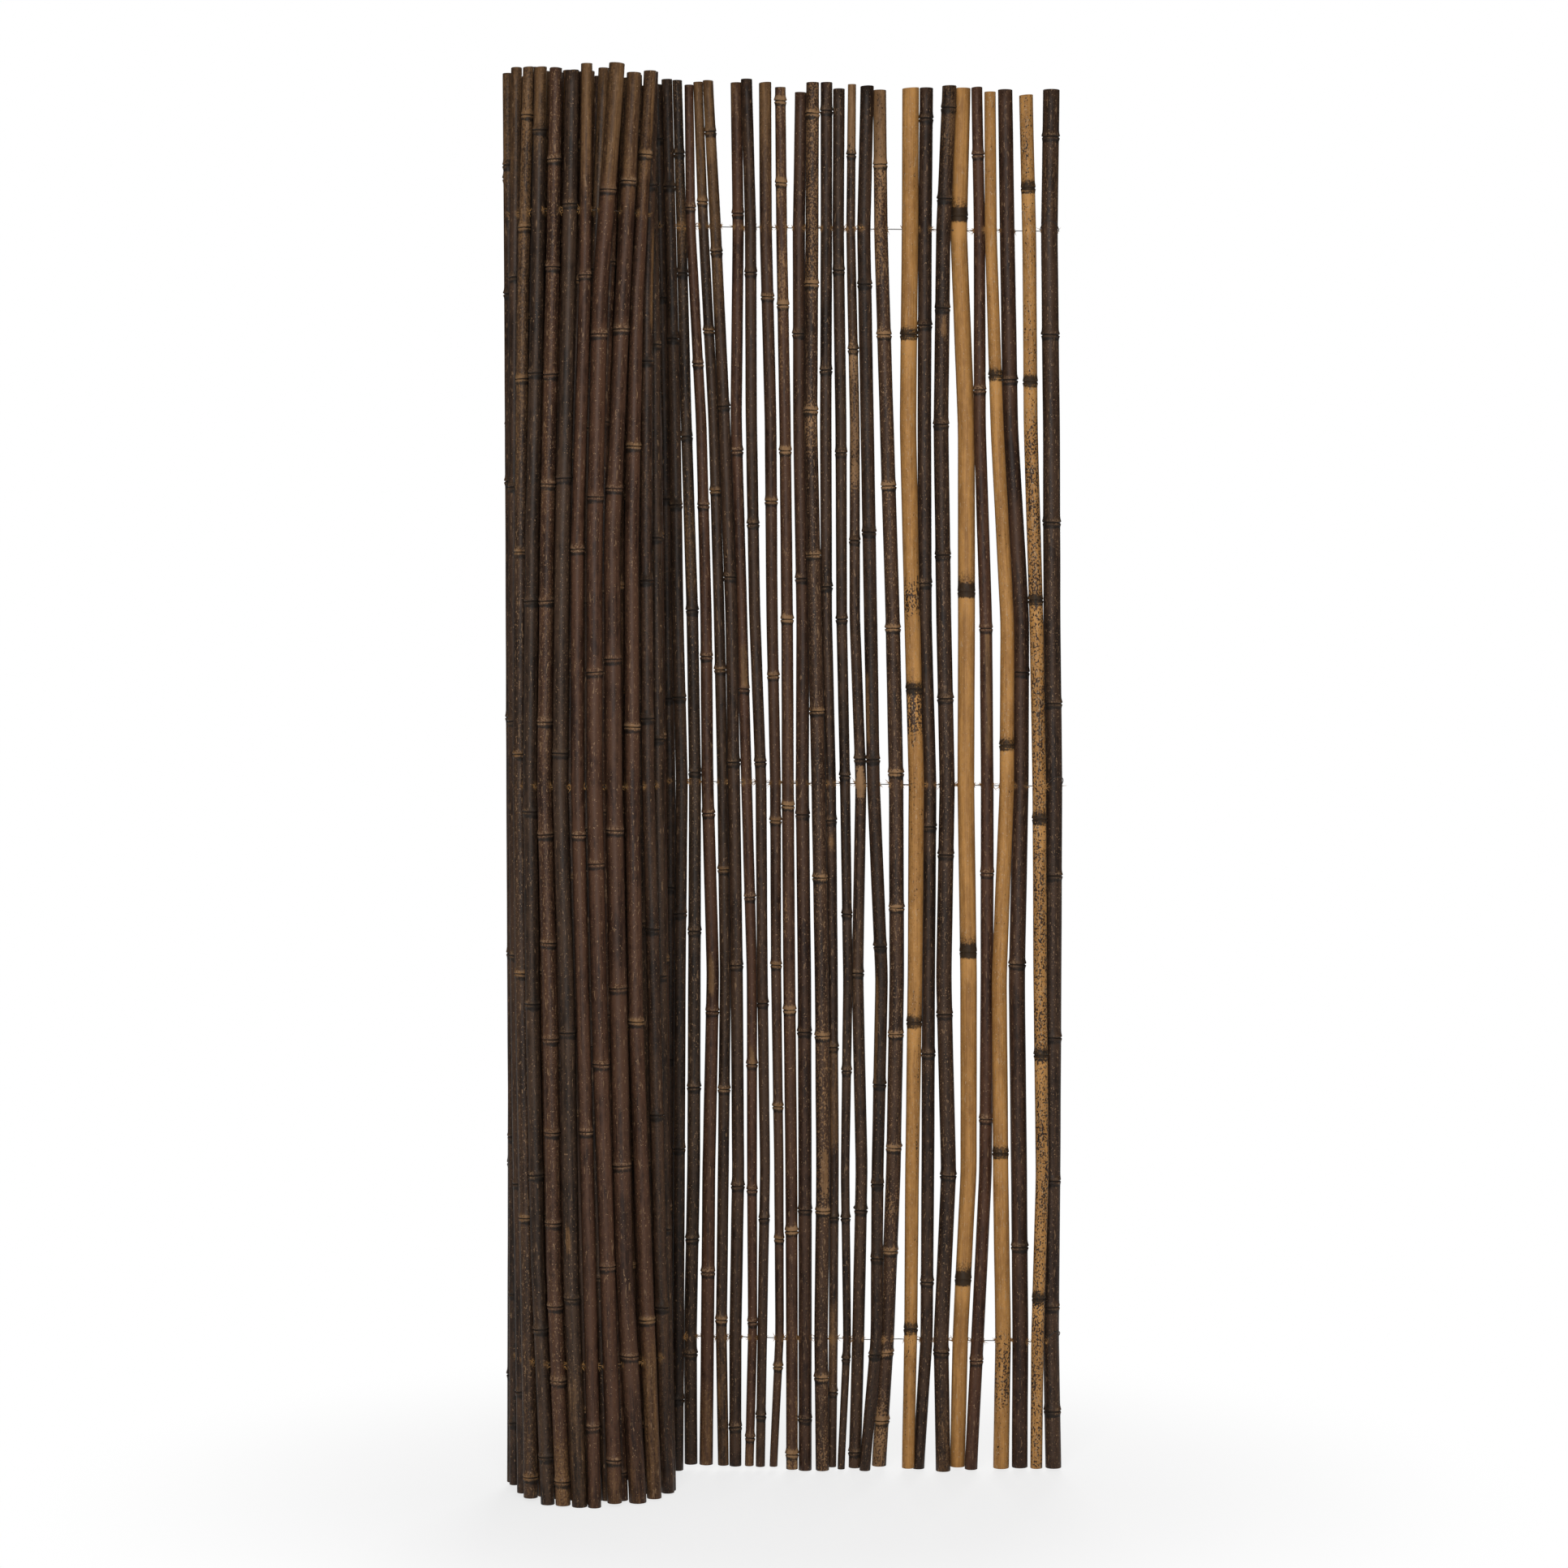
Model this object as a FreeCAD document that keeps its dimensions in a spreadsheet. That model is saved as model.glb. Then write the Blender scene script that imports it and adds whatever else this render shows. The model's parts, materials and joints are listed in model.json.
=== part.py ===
import FreeCAD, Part
import math
import os
import random

# Bamboo fence mat, two metres tall, half unrolled.
# Dark canes stand side by side on three steel wires. The wires are threaded through
# holes drilled in every cane, and each wire is looped back over the end canes.
# The right-hand part of the mat stands straight as a panel, the rest is still rolled up.
# Millimetres. X runs along the panel, -Y is the front, Z is up.
# The origin is the middle of the footprint, on the ground.

doc = FreeCAD.newDocument("bamboo_mat")

# Driving dimensions
SIZES = [
    ("cane_length", "2000", "length of a usual cane"),
    ("lower_wire_height", "191", "lowest wire above the ground"),
    ("upper_wire_drop", "200", "highest wire below the top of a usual cane"),
    ("wire_fall", "8", "how far the wires drop along the panel, from the roll to the free end"),
    ("wire_diameter", "1.25", "steel wire"),
    ("hole_play", "1.35", "drilled hole less wire, in diameter"),
    ("cane_gap", "0.4", "least gap between two canes"),
    ("cane_belly", "1.4", "how much thicker a cane is at half height than its ends' diameters say"),
    ("drill_room", "26", "hidden canes have no knuckle this close to a wire"),
    ("skin_band", "6", "a cane's skin has a circle this far above and below each wire"),
    ("culm_wall", "4", "thickness of the cane's wall at its open ends"),
    ("septum_inset", "5", "the open bore stops this far short of a knuckle"),
    ("bore_limit", "110", "deepest open bore"),
    ("knuckle_rise", "1.1", "height of a knuckle's ridge above the cane"),
    ("knuckle_groove", "0.3", "depth of the scar groove below the ridge"),
    ("knuckle_spread", "9", "length over which the cane swells to a knuckle"),
    ("roll_radius", "115", "roll's axis to the centres of the outermost canes, at the top"),
    ("roll_flare", "9", "how much wider that radius is at the foot"),
    ("roll_lean", "16", "how far the roll's axis shifts to the left from foot to top"),
    ("turn_step", "22.5", "distance between one turn of the roll and the next"),
    ("panel_start", "107", "roll's axis to the first cane of the panel, along X"),
    ("hidden_pitch", "22.5", "cane to cane in the part of the mat that the roll hides"),
    ("hidden_girth", "16", "middle diameter of the canes inside the roll"),
    ("loop_gap", "0.5", "gap between a wire's end loop and the cane it goes over"),
    ("loop_rise", "14", "how far the end loop climbs over the front of the end cane"),
]

sheet = doc.addObject("Spreadsheet::Sheet", "dims")
for row, (alias, value, note) in enumerate(SIZES, start=1):
    sheet.set("A%d" % row, note)
    sheet.set("B%d" % row, value)
    sheet.setAlias("B%d" % row, alias)
doc.recompute()


def size(alias):
    return float(sheet.get(alias))


CANE_LENGTH = size("cane_length")
WIRE_RADIUS = size("wire_diameter") / 2
LOWER_WIRE = size("lower_wire_height")
UPPER_WIRE = CANE_LENGTH - size("upper_wire_drop")
WIRES = [("bottom_wire", LOWER_WIRE), ("middle_wire", (LOWER_WIRE + UPPER_WIRE) / 2), ("top_wire", UPPER_WIRE)]

# Seen canes of the panel, from the roll to the free end.
# Each row: step from the cane on its left, diameter at foot and top, height of its foot,
# length more than a usual cane, side it leans to where it meets a neighbour (-1 front, 1 back),
# how far its axis lies to the right of its middle at PANEL_SHARES of its length,
# and the heights of its knuckles.
PANEL_SHARES = (0, 0.095, 0.215, 0.355, 0.495, 0.615, 0.755, 0.895, 1)
PANEL = [
    (0, 15.5, 14.5, 3, 6, 1, (-1, 1, 2, 4, 3.5, -0.5, -4, -10.5, -15), (186, 373, 595, 845, 1119, 1408, 1700, 1930)),
    (19, 16.5, 15.5, 2, 14, -1, (-4, -3, -2, -1, 2, -4, -8, -14.5, -20), (105, 468, 808, 1121, 1399, 1640, 1860)),
    (21, 19, 14, 9, 6, 1, (-6, -7, -2, -1, 0, -4, -13, -20, -26),
     (169, 336, 556, 782, 1012, 1247, 1499, 1736, 1909)),
    (18, 19.5, 13, 9, -1, -1, (-2, 0, 2, 8, 0, -2, -9, -24, -27), (288, 666, 953, 1180, 1399, 1604, 1830)),
    (22, 16, 14, 8, 5, 1, (1, -2, 1, 4, 0, -5, -13, -28, -36), (219, 553, 871, 1161, 1420, 1652, 1839)),
    (16.5, 17.5, 15.5, 7, 7, -1, (2, 2, 6, 4, 0, -4, -14, -27, -38),
     (64, 413, 733, 1027, 1295, 1542, 1766, 1940)),
    (18, 13, 16.5, 7, 5, 1, (4, 9, 8, 8, 0, -7, -15, -12, -15),
     (48, 215, 407, 589, 831, 1133, 1478, 1822)),
    (21, 13.5, 16.5, 6, 10, -1, (-1, 2, 6, 2, 0, -9, -14, -15, -21), (80, 366, 678, 1027, 1372, 1736)),
    (21, 11.5, 18, 6, 6, 1, (-3, 6, 5, 1, 0, -5, -7, -14, -15),
     (151, 336, 528, 733, 942, 1152, 1405, 1701)),
    (18, 17, 15.5, 3, 2, -1, (6, 6, 5, 2, 0, -1, -4, -9, -11),
     (25, 348, 668, 964, 1234, 1478, 1689, 1866, 1985)),
    (21, 19, 17.5, 0, -2, 1, (4, 4, 4, 3, 0, 1, -4, -5, -2), (75, 378, 636, 951, 1293, 1648)),
    (23, 19.5, 18.5, 2, 9, -1, (6, 4, 7, 5, 0, -5, -11, -9, -8),
     (136, 378, 631, 860, 1101, 1327, 1536, 1719, 1966)),
    (18, 12.5, 17, 4, 8, 1, (2, 4, 5, 3, 0, -6, -7, -6, -6), (113, 366, 613, 942, 1281, 1595, 1971)),
    (21, 10.5, 17, 2, 0, -1, (-6, 3, 0, 4, 0, -5, -6, -10, -9),
     (162, 366, 580, 807, 1007, 1234, 1475, 1739)),
    (23, 18, 12, 4, 5, 1, (-9, -4, 1, -5, 0, -9, -9, -15, -13), (27, 378, 721, 1031, 1348, 1625, 1907)),
    (18, 16, 19.5, 2, 4, -1, (-13, 4, 6, 12, 0, -4, -9, -14, -9),
     (170, 309, 416, 560, 760, 1031, 1360, 1719)),
    (33, 21, 19, 6, -5, 1, (-25, -13, -4, 1, 0, -5, -13.5, -22, -24),
     (72, 170, 318, 468, 633, 816, 1011, 1221, 1427, 1646, 1893)),
    (29, 18, 24.5, 5, -1, -1, (-12, -8, -6, -2, 0, -6, -12, -9, -8), (206, 651, 1133, 1646)),
    (20, 17.5, 19.5, 2, 2, 1, (-17, -5, -3, -2, 0, -7, -8, -7, -5), (274, 604, 933, 1286, 1660, 1960)),
    (25, 21.5, 20.5, 0, 6, -1, (-6, -9, 2, -5, 0, -5, -9, -6, 3),
     (172, 428, 662, 893, 1119, 1327, 1516, 1684, 1842, 1974)),
    (27, 22, 24.5, 5, -1, 1, (-12, -8, 4, 4, 0, 1, 1, -10, -5), (278, 752, 1274, 1819)),
    (31, 18.5, 16, 3, 2, 1, (-24, -14, -2, 0, 0, -2, -11, -11, -15), (160, 509, 866, 1221, 1566, 1907)),
    (28, 23, 16.5, 4, -6, -1, (-8, -5, -9, -11, 0, 1, -14, -23, -24), (462, 1052, 1587)),
    (21, 23, 21, 5, -4, 1, (-2, -1, -3, -6, 0, 1, -15, -20, -23), (325, 734, 1157, 1581, 1990)),
    (26, 17.5, 20, 4, -10, -1, (-4, -3, 4, 1, 0, -4, -12, -14, -19), (252, 604, 945, 1262, 1578, 1859)),
    (22, 23, 24, 4, -3, 1, (-1, -4, -2, -1, 0, -3, -4, -7, -4),
     (86, 236, 419, 627, 862, 1112, 1374, 1646, 1933)),
]

# Seen canes at the front of the roll, from its left side round to its right side.
# Each row: diameter at foot and top, height of its foot, length more than a usual cane,
# its bearing in degrees from straight ahead (minus is left) at ROLL_SHARES of its length,
# and the heights of its knuckles.
ROLL_SHARES = (0, 0.165, 0.335, 0.5, 0.67, 0.84, 1)
ROLL_FRONT = [
    (14, 13.5, 9, -3, (-94, -93, -95, -98, -96, -94, -93), (162, 462, 784, 1130, 1510, 1860)),
    (14.5, 14.5, 15, -9, (-72, -76, -83, -86, -82, -80, -80), (102, 282, 503, 761, 1095, 1429, 1694, 1876)),
    (15, 15.5, 9, 0, (-58, -63, -70, -74, -70, -65, -59), (150, 440, 760, 1090, 1420, 1715)),
    (20, 15, 6, 1, (-48, -53, -59, -62, -58, -53, -44), (35, 395, 736, 1044, 1328, 1571, 1783, 1940)),
    (19.5, 17.5, 1, 4, (-32, -41, -46, -48, -44, -37, -32), (67, 243, 457, 695, 964, 1259, 1578, 1917)),
    (21, 17.5, 2, 0, (-20, -27, -29, -33.5, -29.5, -23.5, -19),
     (35, 174, 277, 392, 518, 648, 782, 933, 1090, 1259, 1422, 1575, 1725, 1875)),
    (21.5, 19.5, 1, -3, (-8, -13.5, -15, -20, -16.5, -10.5, -6), (289, 658, 1047, 1430, 1812)),
    (18.5, 16, 0, 8, (2.5, 0, -3.5, -6.5, -5.5, 2, 5), (112, 521, 933, 1331, 1713)),
    (20.5, 22, 5, 6, (17, 13.5, 9, 6.5, 8, 14, 30), (65, 333, 614, 893, 1160, 1404, 1631, 1833)),
    (24.5, 20, 2, -2, (35.5, 26, 24, 22, 22, 33, 47), (207, 472, 719, 939, 1178, 1416, 1639, 1847)),
    (21, 17.5, 3, 5, (52, 45.5, 39.5, 38.5, 40, 48, 73), (253, 671, 1083, 1476, 1888)),
    (18.5, 14.5, 2, 9, (74.5, 66.5, 63, 57, 57.5, 63, 90), (265, 536, 798, 1094, 1288, 1597, 1847)),
    (16, 14.5, 0, 6, (87, 82, 80, 78, 80, 84, 108), (371, 729, 1064, 1349, 1623, 1900)),
]

# How the hidden canes turn with height, in degrees, so that they stay beside the seen ones
ROLL_TWIST = (14, 7, 3, 0, 3, 8, 24)
HIDDEN_SHARES = (0, 0.25, 0.5, 0.75, 1)

# Hidden canes of the mat: how many stand in each group of the list of parts
BACK_GROUPS = (3, 3, 3, 2)
SIDE_GROUPS = (3, 3, 3)
SECOND_TURN_GROUPS = (3, 3, 3, 3, 3, 3, 3, 2)
THIRD_TURN_GROUPS = (3, 3, 3)


def between(shares, values, share):
    """Straight-line reading of a list of values given at shares of a cane's length."""
    k = 1
    while k < len(shares) - 1 and share > shares[k]:
        k += 1
    part = (share - shares[k - 1]) / (shares[k] - shares[k - 1])
    return values[k - 1] + (values[k] - values[k - 1]) * part


class Cane:
    """One cane: its taper, its knuckles and the places that its axis passes through."""

    def __init__(self, node, foot_girth, top_girth, foot, length, knuckles, plain):
        self.node = node
        self.foot_girth = foot_girth
        self.top_girth = top_girth
        self.foot = foot
        self.length = length
        self.plain = plain
        spread = size("knuckle_spread")
        low = foot + spread
        high = foot + length - 1.5 * spread
        self.knuckles = [k for k in sorted(knuckles) if low < k < high]
        self.stations = []
        self.lean = 0
        self.holds_x = False
        self.carries_loop = False
        self.crossings = []

    def top(self):
        return self.foot + self.length

    def place(self, shares, points):
        self.stations = [[self.foot + s * self.length, p[0], p[1]] for s, p in zip(shares, points)]

    def axis(self, height):
        k = 1
        while k < len(self.stations) - 1 and height > self.stations[k][0]:
            k += 1
        low = self.stations[k - 1]
        high = self.stations[k]
        part = (height - low[0]) / (high[0] - low[0])
        return low[1] + (high[1] - low[1]) * part, low[2] + (high[2] - low[2]) * part

    def radius(self, height):
        part = (height - self.foot) / self.length
        belly = 4 * part * (1 - part) * size("cane_belly")
        return (self.foot_girth + (self.top_girth - self.foot_girth) * part + belly) / 2

    def reach(self, height):
        """Radius with any knuckle close to this height counted in."""
        spread = 2 * size("knuckle_spread")
        swell = 0
        for k in self.knuckles:
            swell = max(swell, size("knuckle_rise") * max(0, 1.4 - abs(height - k) / spread))
        return self.radius(height) + min(swell, size("knuckle_rise"))


def roll_centre(share):
    """Middle of the roll in plan, with the roll's axis at half height as zero."""
    x = size("roll_lean") * (0.5 - share)
    return x, -outer_radius(share)


def outer_radius(share):
    return size("roll_radius") + size("roll_flare") * (1 - share) ** 3


def mat_point(angle, share):
    """Place in plan of a point of the mat, by its angle past the place where the roll begins."""
    x, y = roll_centre(share)
    radius = outer_radius(share)
    if angle <= 0:
        return x - radius * math.radians(angle), 0
    radius = radius - size("turn_step") * angle / 360
    bearing = math.radians(90 + angle)
    return x + radius * math.cos(bearing), y + radius * math.sin(bearing)


def panel_canes():
    canes = []
    x = size("panel_start")
    for number, (step, foot_girth, top_girth, foot, extra, lean, sway, knuckles) in enumerate(PANEL, start=1):
        x += step
        node = "panel_cane_%02d" % number
        cane = Cane(node, foot_girth, top_girth, foot, CANE_LENGTH + extra, knuckles, False)
        cane.place(PANEL_SHARES, [(x + shift, 0) for shift in sway])
        cane.lean = lean
        cane.holds_x = True
        canes.append(cane)
    return canes


def roll_front_canes():
    canes = []
    for number, (foot_girth, top_girth, foot, extra, bearings, knuckles) in enumerate(ROLL_FRONT, start=1):
        node = "roll_front_cane_%02d" % number
        cane = Cane(node, foot_girth, top_girth, foot, CANE_LENGTH + extra, knuckles, False)
        cane.place(ROLL_SHARES, [mat_point(180 + b, s) for b, s in zip(bearings, ROLL_SHARES)])
        canes.append(cane)
    return canes


def hidden_cane(node, chance, angles):
    """A cane that the photograph's side of the roll hides, with its own small differences."""
    girth = size("hidden_girth") * chance.uniform(0.9, 1.12)
    taper = chance.uniform(0.5, 2.5)
    length = CANE_LENGTH + chance.randint(-6, 6)
    knuckles = []
    height = CANE_LENGTH - chance.uniform(70, 230)
    internode = chance.uniform(200, 250)
    while height > 0:
        if any(abs(height - level) < size("drill_room") for _, level in WIRES):
            height -= 2 * size("drill_room")
        knuckles.append(height)
        height -= internode
        internode += chance.uniform(15, 40)
    cane = Cane(node, girth + taper / 2, girth - taper / 2, chance.randint(0, 5), length, knuckles, True)
    points = []
    for angle, share in zip(angles, HIDDEN_SHARES):
        points.append(mat_point(angle, share))
    cane.place(HIDDEN_SHARES, points)
    return cane


def group_names(stem, groups):
    names = []
    for number, count in enumerate(groups, start=1):
        names += ["%s_%d" % (stem, number)] * count
    return names


def back_canes(first_seen, last_seen, chance):
    """Canes behind the roll, spread evenly between the panel and the roll's left side."""
    names = group_names("roll_back_canes", BACK_GROUPS)
    canes = []
    for number, node in enumerate(names, start=1):
        part = number / (len(names) + 1)
        angles = []
        for share in HIDDEN_SHARES:
            x = first_seen.axis(first_seen.foot + share * first_seen.length)[0]
            start = -math.degrees((x - roll_centre(share)[0]) / outer_radius(share))
            end = 180 + between(ROLL_SHARES, last_seen, share)
            angles.append(start + (end - start) * part + chance.uniform(-0.4, 0.4))
        canes.append(hidden_cane(node, chance, angles))
    return canes


def inner_canes(angle, chance):
    """Canes from the roll's right side inwards, one after another along the mat's spiral."""
    names = group_names("roll_side_canes", SIDE_GROUPS)
    names += group_names("second_turn_canes", SECOND_TURN_GROUPS)
    names += group_names("third_turn_canes", THIRD_TURN_GROUPS)
    canes = []
    for node in names:
        radius = outer_radius(0.5) - size("turn_step") * angle / 360
        angle += math.degrees(size("hidden_pitch") / radius)
        angles = []
        for share in HIDDEN_SHARES:
            twist = between(ROLL_SHARES, ROLL_TWIST, share)
            angles.append(angle + twist + chance.uniform(-0.5, 0.5))
        canes.append(hidden_cane(node, chance, angles))
    return canes


def whole_mat():
    """All canes in the order in which the wires pass through them, from the free end inwards."""
    chance = random.Random(7)
    panel = panel_canes()
    front = roll_front_canes()
    back = back_canes(panel[0], ROLL_FRONT[0][4], chance)
    inner = inner_canes(180 + ROLL_FRONT[-1][4][3], chance)
    return panel[::-1] + back + front + inner


def push(cane, height, dx, dy):
    """Move the cane's axis at one height by moving the two stations beside it."""
    k = 1
    while k < len(cane.stations) - 1 and height > cane.stations[k][0]:
        k += 1
    low = cane.stations[k - 1]
    high = cane.stations[k]
    part = min(1, max(0, (height - low[0]) / (high[0] - low[0])))
    weight = (1 - part) ** 2 + part ** 2
    low[1] += dx * (1 - part) / weight
    low[2] += dy * (1 - part) / weight
    high[1] += dx * part / weight
    high[2] += dy * part / weight


def loop_room(cane, height):
    """Extra gap beside the end cane where the wire's end loop comes down."""
    if not cane.carries_loop:
        return 0
    near = min(abs(height - level) for _, level in WIRES)
    return 2 * WIRE_RADIUS + 2 * size("loop_gap") if near < 60 else 0


def meeting_levels(a, b):
    """Heights at which two canes come closest, and how far apart their axes have to be there."""
    heights = {CANE_LENGTH * k / 40 for k in range(41)}
    for cane in (a, b):
        heights.update(cane.knuckles)
        heights.update(station[0] for station in cane.stations)
    levels = []
    for height in sorted(heights):
        room = size("cane_gap") + loop_room(a, height) + loop_room(b, height)
        levels.append((height, a.reach(height) + b.reach(height) + room))
    return levels


def settle(canes):
    """Part the canes that would run into each other.

    Panel canes keep their places along X and step to the front or the back.
    In the roll the two canes are moved apart, and the hidden ones give way to the seen ones.
    """
    canes[0].carries_loop = True
    canes[-1].carries_loop = True
    pairs = []
    for i, a in enumerate(canes):
        for j in range(i + 1, len(canes)):
            b = canes[j]
            levels = meeting_levels(a, b)
            near = min(math.dist(a.axis(height), b.axis(height)) - need for height, need in levels[::4])
            if j == i + 1 or near < 12:
                pairs.append((a, b, i, levels))
    for _ in range(150):
        worst = 0
        for a, b, number, levels in pairs:
            for height, need in levels:
                ax, ay = a.axis(height)
                bx, by = b.axis(height)
                dx = bx - ax
                dy = by - ay
                short = need - math.hypot(dx, dy)
                if short <= 0.01:
                    continue
                worst = max(worst, short)
                if a.holds_x and b.holds_x:
                    apart = math.sqrt(need ** 2 - dx ** 2) - abs(dy) + 0.05
                    way = math.copysign(1, dy) if abs(dy) > 0.3 else (b.lean - a.lean or (-1) ** number)
                    way = math.copysign(0.5 * apart, way)
                    push(a, height, 0, -way)
                    push(b, height, 0, way)
                    continue
                share = 0.5 if a.plain == b.plain else (0.9 if a.plain else 0.1)
                move = (short + 0.05) / math.hypot(dx, dy)
                push(a, height, -dx * move * share, -dy * move * share)
                push(b, height, dx * move * (1 - share), dy * move * (1 - share))
        if worst < 0.02:
            break
    return worst


def centre_footprint(canes):
    """Shift the mat so that the origin is the middle of its footprint."""
    ear = 2 * size("wire_diameter") + size("loop_gap")
    lefts = []
    rights = []
    fronts = []
    backs = []
    for number, cane in enumerate(canes):
        heights = [s[0] for s in cane.stations] + cane.knuckles
        for height in heights:
            x, y = cane.axis(height)
            swell = size("knuckle_rise") if height in cane.knuckles else 0
            r = cane.radius(height) + swell
            lefts.append(x - r)
            rights.append(x + r)
            fronts.append(y - r)
            backs.append(y + r)
    for _, level in WIRES:
        rights.append(canes[0].axis(level)[0] + canes[0].radius(level) + ear)
    x = (min(lefts) + max(rights)) / 2
    y = (min(fronts) + max(backs)) / 2
    for cane in canes:
        for station in cane.stations:
            station[1] -= x
            station[2] -= y


def sections(cane):
    """Heights and extra radii of the circles that the cane's surface passes through."""
    rise = size("knuckle_rise")
    groove = size("knuckle_groove")
    spread = size("knuckle_spread")
    if cane.plain:
        knuckle = ((-0.6 * spread, 0), (0, rise), (spread, 0))
    else:
        knuckle = ((-0.8 * spread, 0), (-0.25 * spread, 0.8 * rise), (-0.1 * spread, -groove),
                   (0.15 * spread, rise), (spread, 0))
    cuts = {}
    for station in cane.stations:
        cuts[station[0]] = 0
    for k in cane.knuckles:
        near = [h for h in cuts if abs(h - k) < 1.6 * spread and h not in (cane.foot, cane.top())]
        for h in near:
            cuts.pop(h)
        for along, extra in knuckle:
            cuts[k + along] = extra
    for crossing in cane.crossings:
        for height in (crossing - size("skin_band"), crossing + size("skin_band")):
            if all(abs(height - k) > 1.5 * spread for k in cane.knuckles):
                cuts[height] = 0
    return sorted(cuts.items())


def culm(cane, along):
    """The crooked, tapered cane with its knuckles: a ruled skin through level circles.

    The circles start a quarter turn from the wires, along which the holes are drilled.
    """
    start = math.degrees(math.atan2(along.y, along.x)) + 90
    wires = []
    for height, extra in sections(cane):
        x, y = cane.axis(height)
        centre = FreeCAD.Vector(x, y, height)
        upright = FreeCAD.Vector(0, 0, 1)
        edge = Part.Circle(centre, upright, cane.radius(height) + extra).toShape()
        edge.rotate(centre, upright, start)
        wires.append(Part.Wire([edge]))
    return Part.makeLoft(wires, True, True)


def set_crossings(canes):
    """Heights at which the three wires pass through each cane: they drop towards the free end."""
    seen = len(PANEL) - 1
    for number, cane in enumerate(canes):
        fall = size("wire_fall") * (0.5 - min(number, seen) / seen)
        cane.crossings = [level - fall for _, level in WIRES]


def threading(canes, which):
    """Points of one wire: it runs straight through each cane and bends midway to the next."""
    centres = []
    for cane in canes:
        height = cane.crossings[which]
        x, y = cane.axis(height)
        centres.append((FreeCAD.Vector(x, y, height), cane.radius(height)))
    points = []
    for (a, ra), (b, rb) in zip(centres, centres[1:]):
        along = b - a
        gap = along.Length - ra - rb
        points.append(a + along * ((ra + gap / 2) / along.Length))
    return centres, points


def end_loop(centre, radius, inner):
    """Wire past an end cane: out of its hole, up over the cane's front and down beside the wire.

    inner is the wire's last bend on the mat's side of the cane.
    """
    back = centre - inner
    back.z = 0
    out = back / back.Length
    front = FreeCAD.Vector(out.y, -out.x, 0)
    ring = radius + WIRE_RADIUS + size("loop_gap")
    points = [centre + (centre - inner) * ((ring + WIRE_RADIUS) / (centre - inner).Length)]
    for degrees in range(15, 181, 15):
        turn = math.radians(degrees)
        climb = size("loop_rise") * math.sin(0.5 * math.pi * min(1, degrees / 100))
        if degrees > 120:
            climb -= (size("loop_rise") - 2 * WIRE_RADIUS - 0.6) * (degrees - 120) / 60
        place = out * (ring * math.cos(turn)) + front * (ring * math.sin(turn))
        points.append(centre + place + FreeCAD.Vector(0, 0, climb))
    return points


def wire_shape(points):
    """Round wire along the points: a ruled skin between circles that halve each bend."""
    up = FreeCAD.Vector(0, 0, 1)
    steps = [b - a for a, b in zip(points, points[1:])]
    rings = []
    for number, point in enumerate(points):
        into = FreeCAD.Vector(steps[max(number - 1, 0)]).normalize()
        out = FreeCAD.Vector(steps[min(number, len(steps) - 1)]).normalize()
        along = (into + out).normalize()
        side = up.cross(along).normalize()
        ring = Part.Circle(FreeCAD.Vector(), up, WIRE_RADIUS).toShape()
        ring.Placement = FreeCAD.Placement(point, FreeCAD.Rotation(side, along.cross(side), along, "ZXY"))
        rings.append(ring)
    faces = [Part.makeRuledSurface(a, b) for a, b in zip(rings, rings[1:])]
    faces += [Part.Face(Part.Wire(ring)) for ring in (rings[0], rings[-1])]
    skin = Part.makeShell(faces)
    skin.sewShape()
    return Part.makeSolid(skin)


def bore(cane, at_top):
    """The hollow end of a cane, open as far as the wall of its nearest knuckle."""
    if at_top:
        end = cane.top()
        stop = max(cane.knuckles) + size("septum_inset") if cane.knuckles else cane.foot
        depth = min(end - stop, size("bore_limit"))
        station = cane.stations[-2]
    else:
        end = cane.foot
        stop = min(cane.knuckles) - size("septum_inset") if cane.knuckles else cane.top()
        depth = min(stop - end, size("bore_limit"))
        station = cane.stations[1]
    mouth = FreeCAD.Vector(*cane.axis(end), end)
    inner = FreeCAD.Vector(station[1], station[2], station[0])
    along = (inner - mouth).normalize()
    return mouth - along, along, depth + 1, cane.radius(end)


def cylinder(name, start, along, radius, height):
    """A drill's cylinder as a document object, with its radius bound to the sheet."""
    tool = doc.addObject("Part::Cylinder", name)
    tool.setExpression("Radius", radius)
    tool.Height = height
    tool.Placement = FreeCAD.Placement(start, FreeCAD.Rotation(FreeCAD.Vector(0, 0, 1), along))
    return tool


def drilled_cane(name, cane, runs):
    """A cane drilled for the three wires and open at its ends."""
    body = doc.addObject("Part::Feature", "culm_" + name)
    body.Shape = culm(cane, runs[1][1] - runs[1][0])
    tools = []
    for number, (start, end) in enumerate(runs, start=1):
        length = (end - start).Length + 4
        run = (end - start).normalize()
        hole = "dims.wire_diameter / 2 + dims.hole_play / 2"
        tools.append(cylinder("hole_%s_%d" % (name, number), start - run * 2, run, hole, length))
    for end_name, at_top in (("foot", False), ("top", True)):
        start, along, depth, radius = bore(cane, at_top)
        if radius - size("culm_wall") > 0.8 and depth > 3:
            opening = "%.3f - dims.culm_wall" % radius
            tools.append(cylinder("bore_%s_%s" % (name, end_name), start, along, opening, depth))
    drills = doc.addObject("Part::Compound", "drills_" + name)
    drills.Links = tools
    drilled = doc.addObject("Part::Cut", name)
    drilled.Base = body
    drilled.Tool = drills
    return drilled


def add_node(node, members, bends):
    """One named part: a cane, or a group of like canes that stand side by side."""
    if len(members) == 1:
        part = drilled_cane(node, members[0], bends[id(members[0])])
    else:
        canes = []
        for number, cane in enumerate(members, start=1):
            canes.append(drilled_cane("%s_%d" % (node, number), cane, bends[id(cane)]))
        part = doc.addObject("Part::Compound", node)
        part.Links = canes
    part.Label = node
    return part


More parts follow.
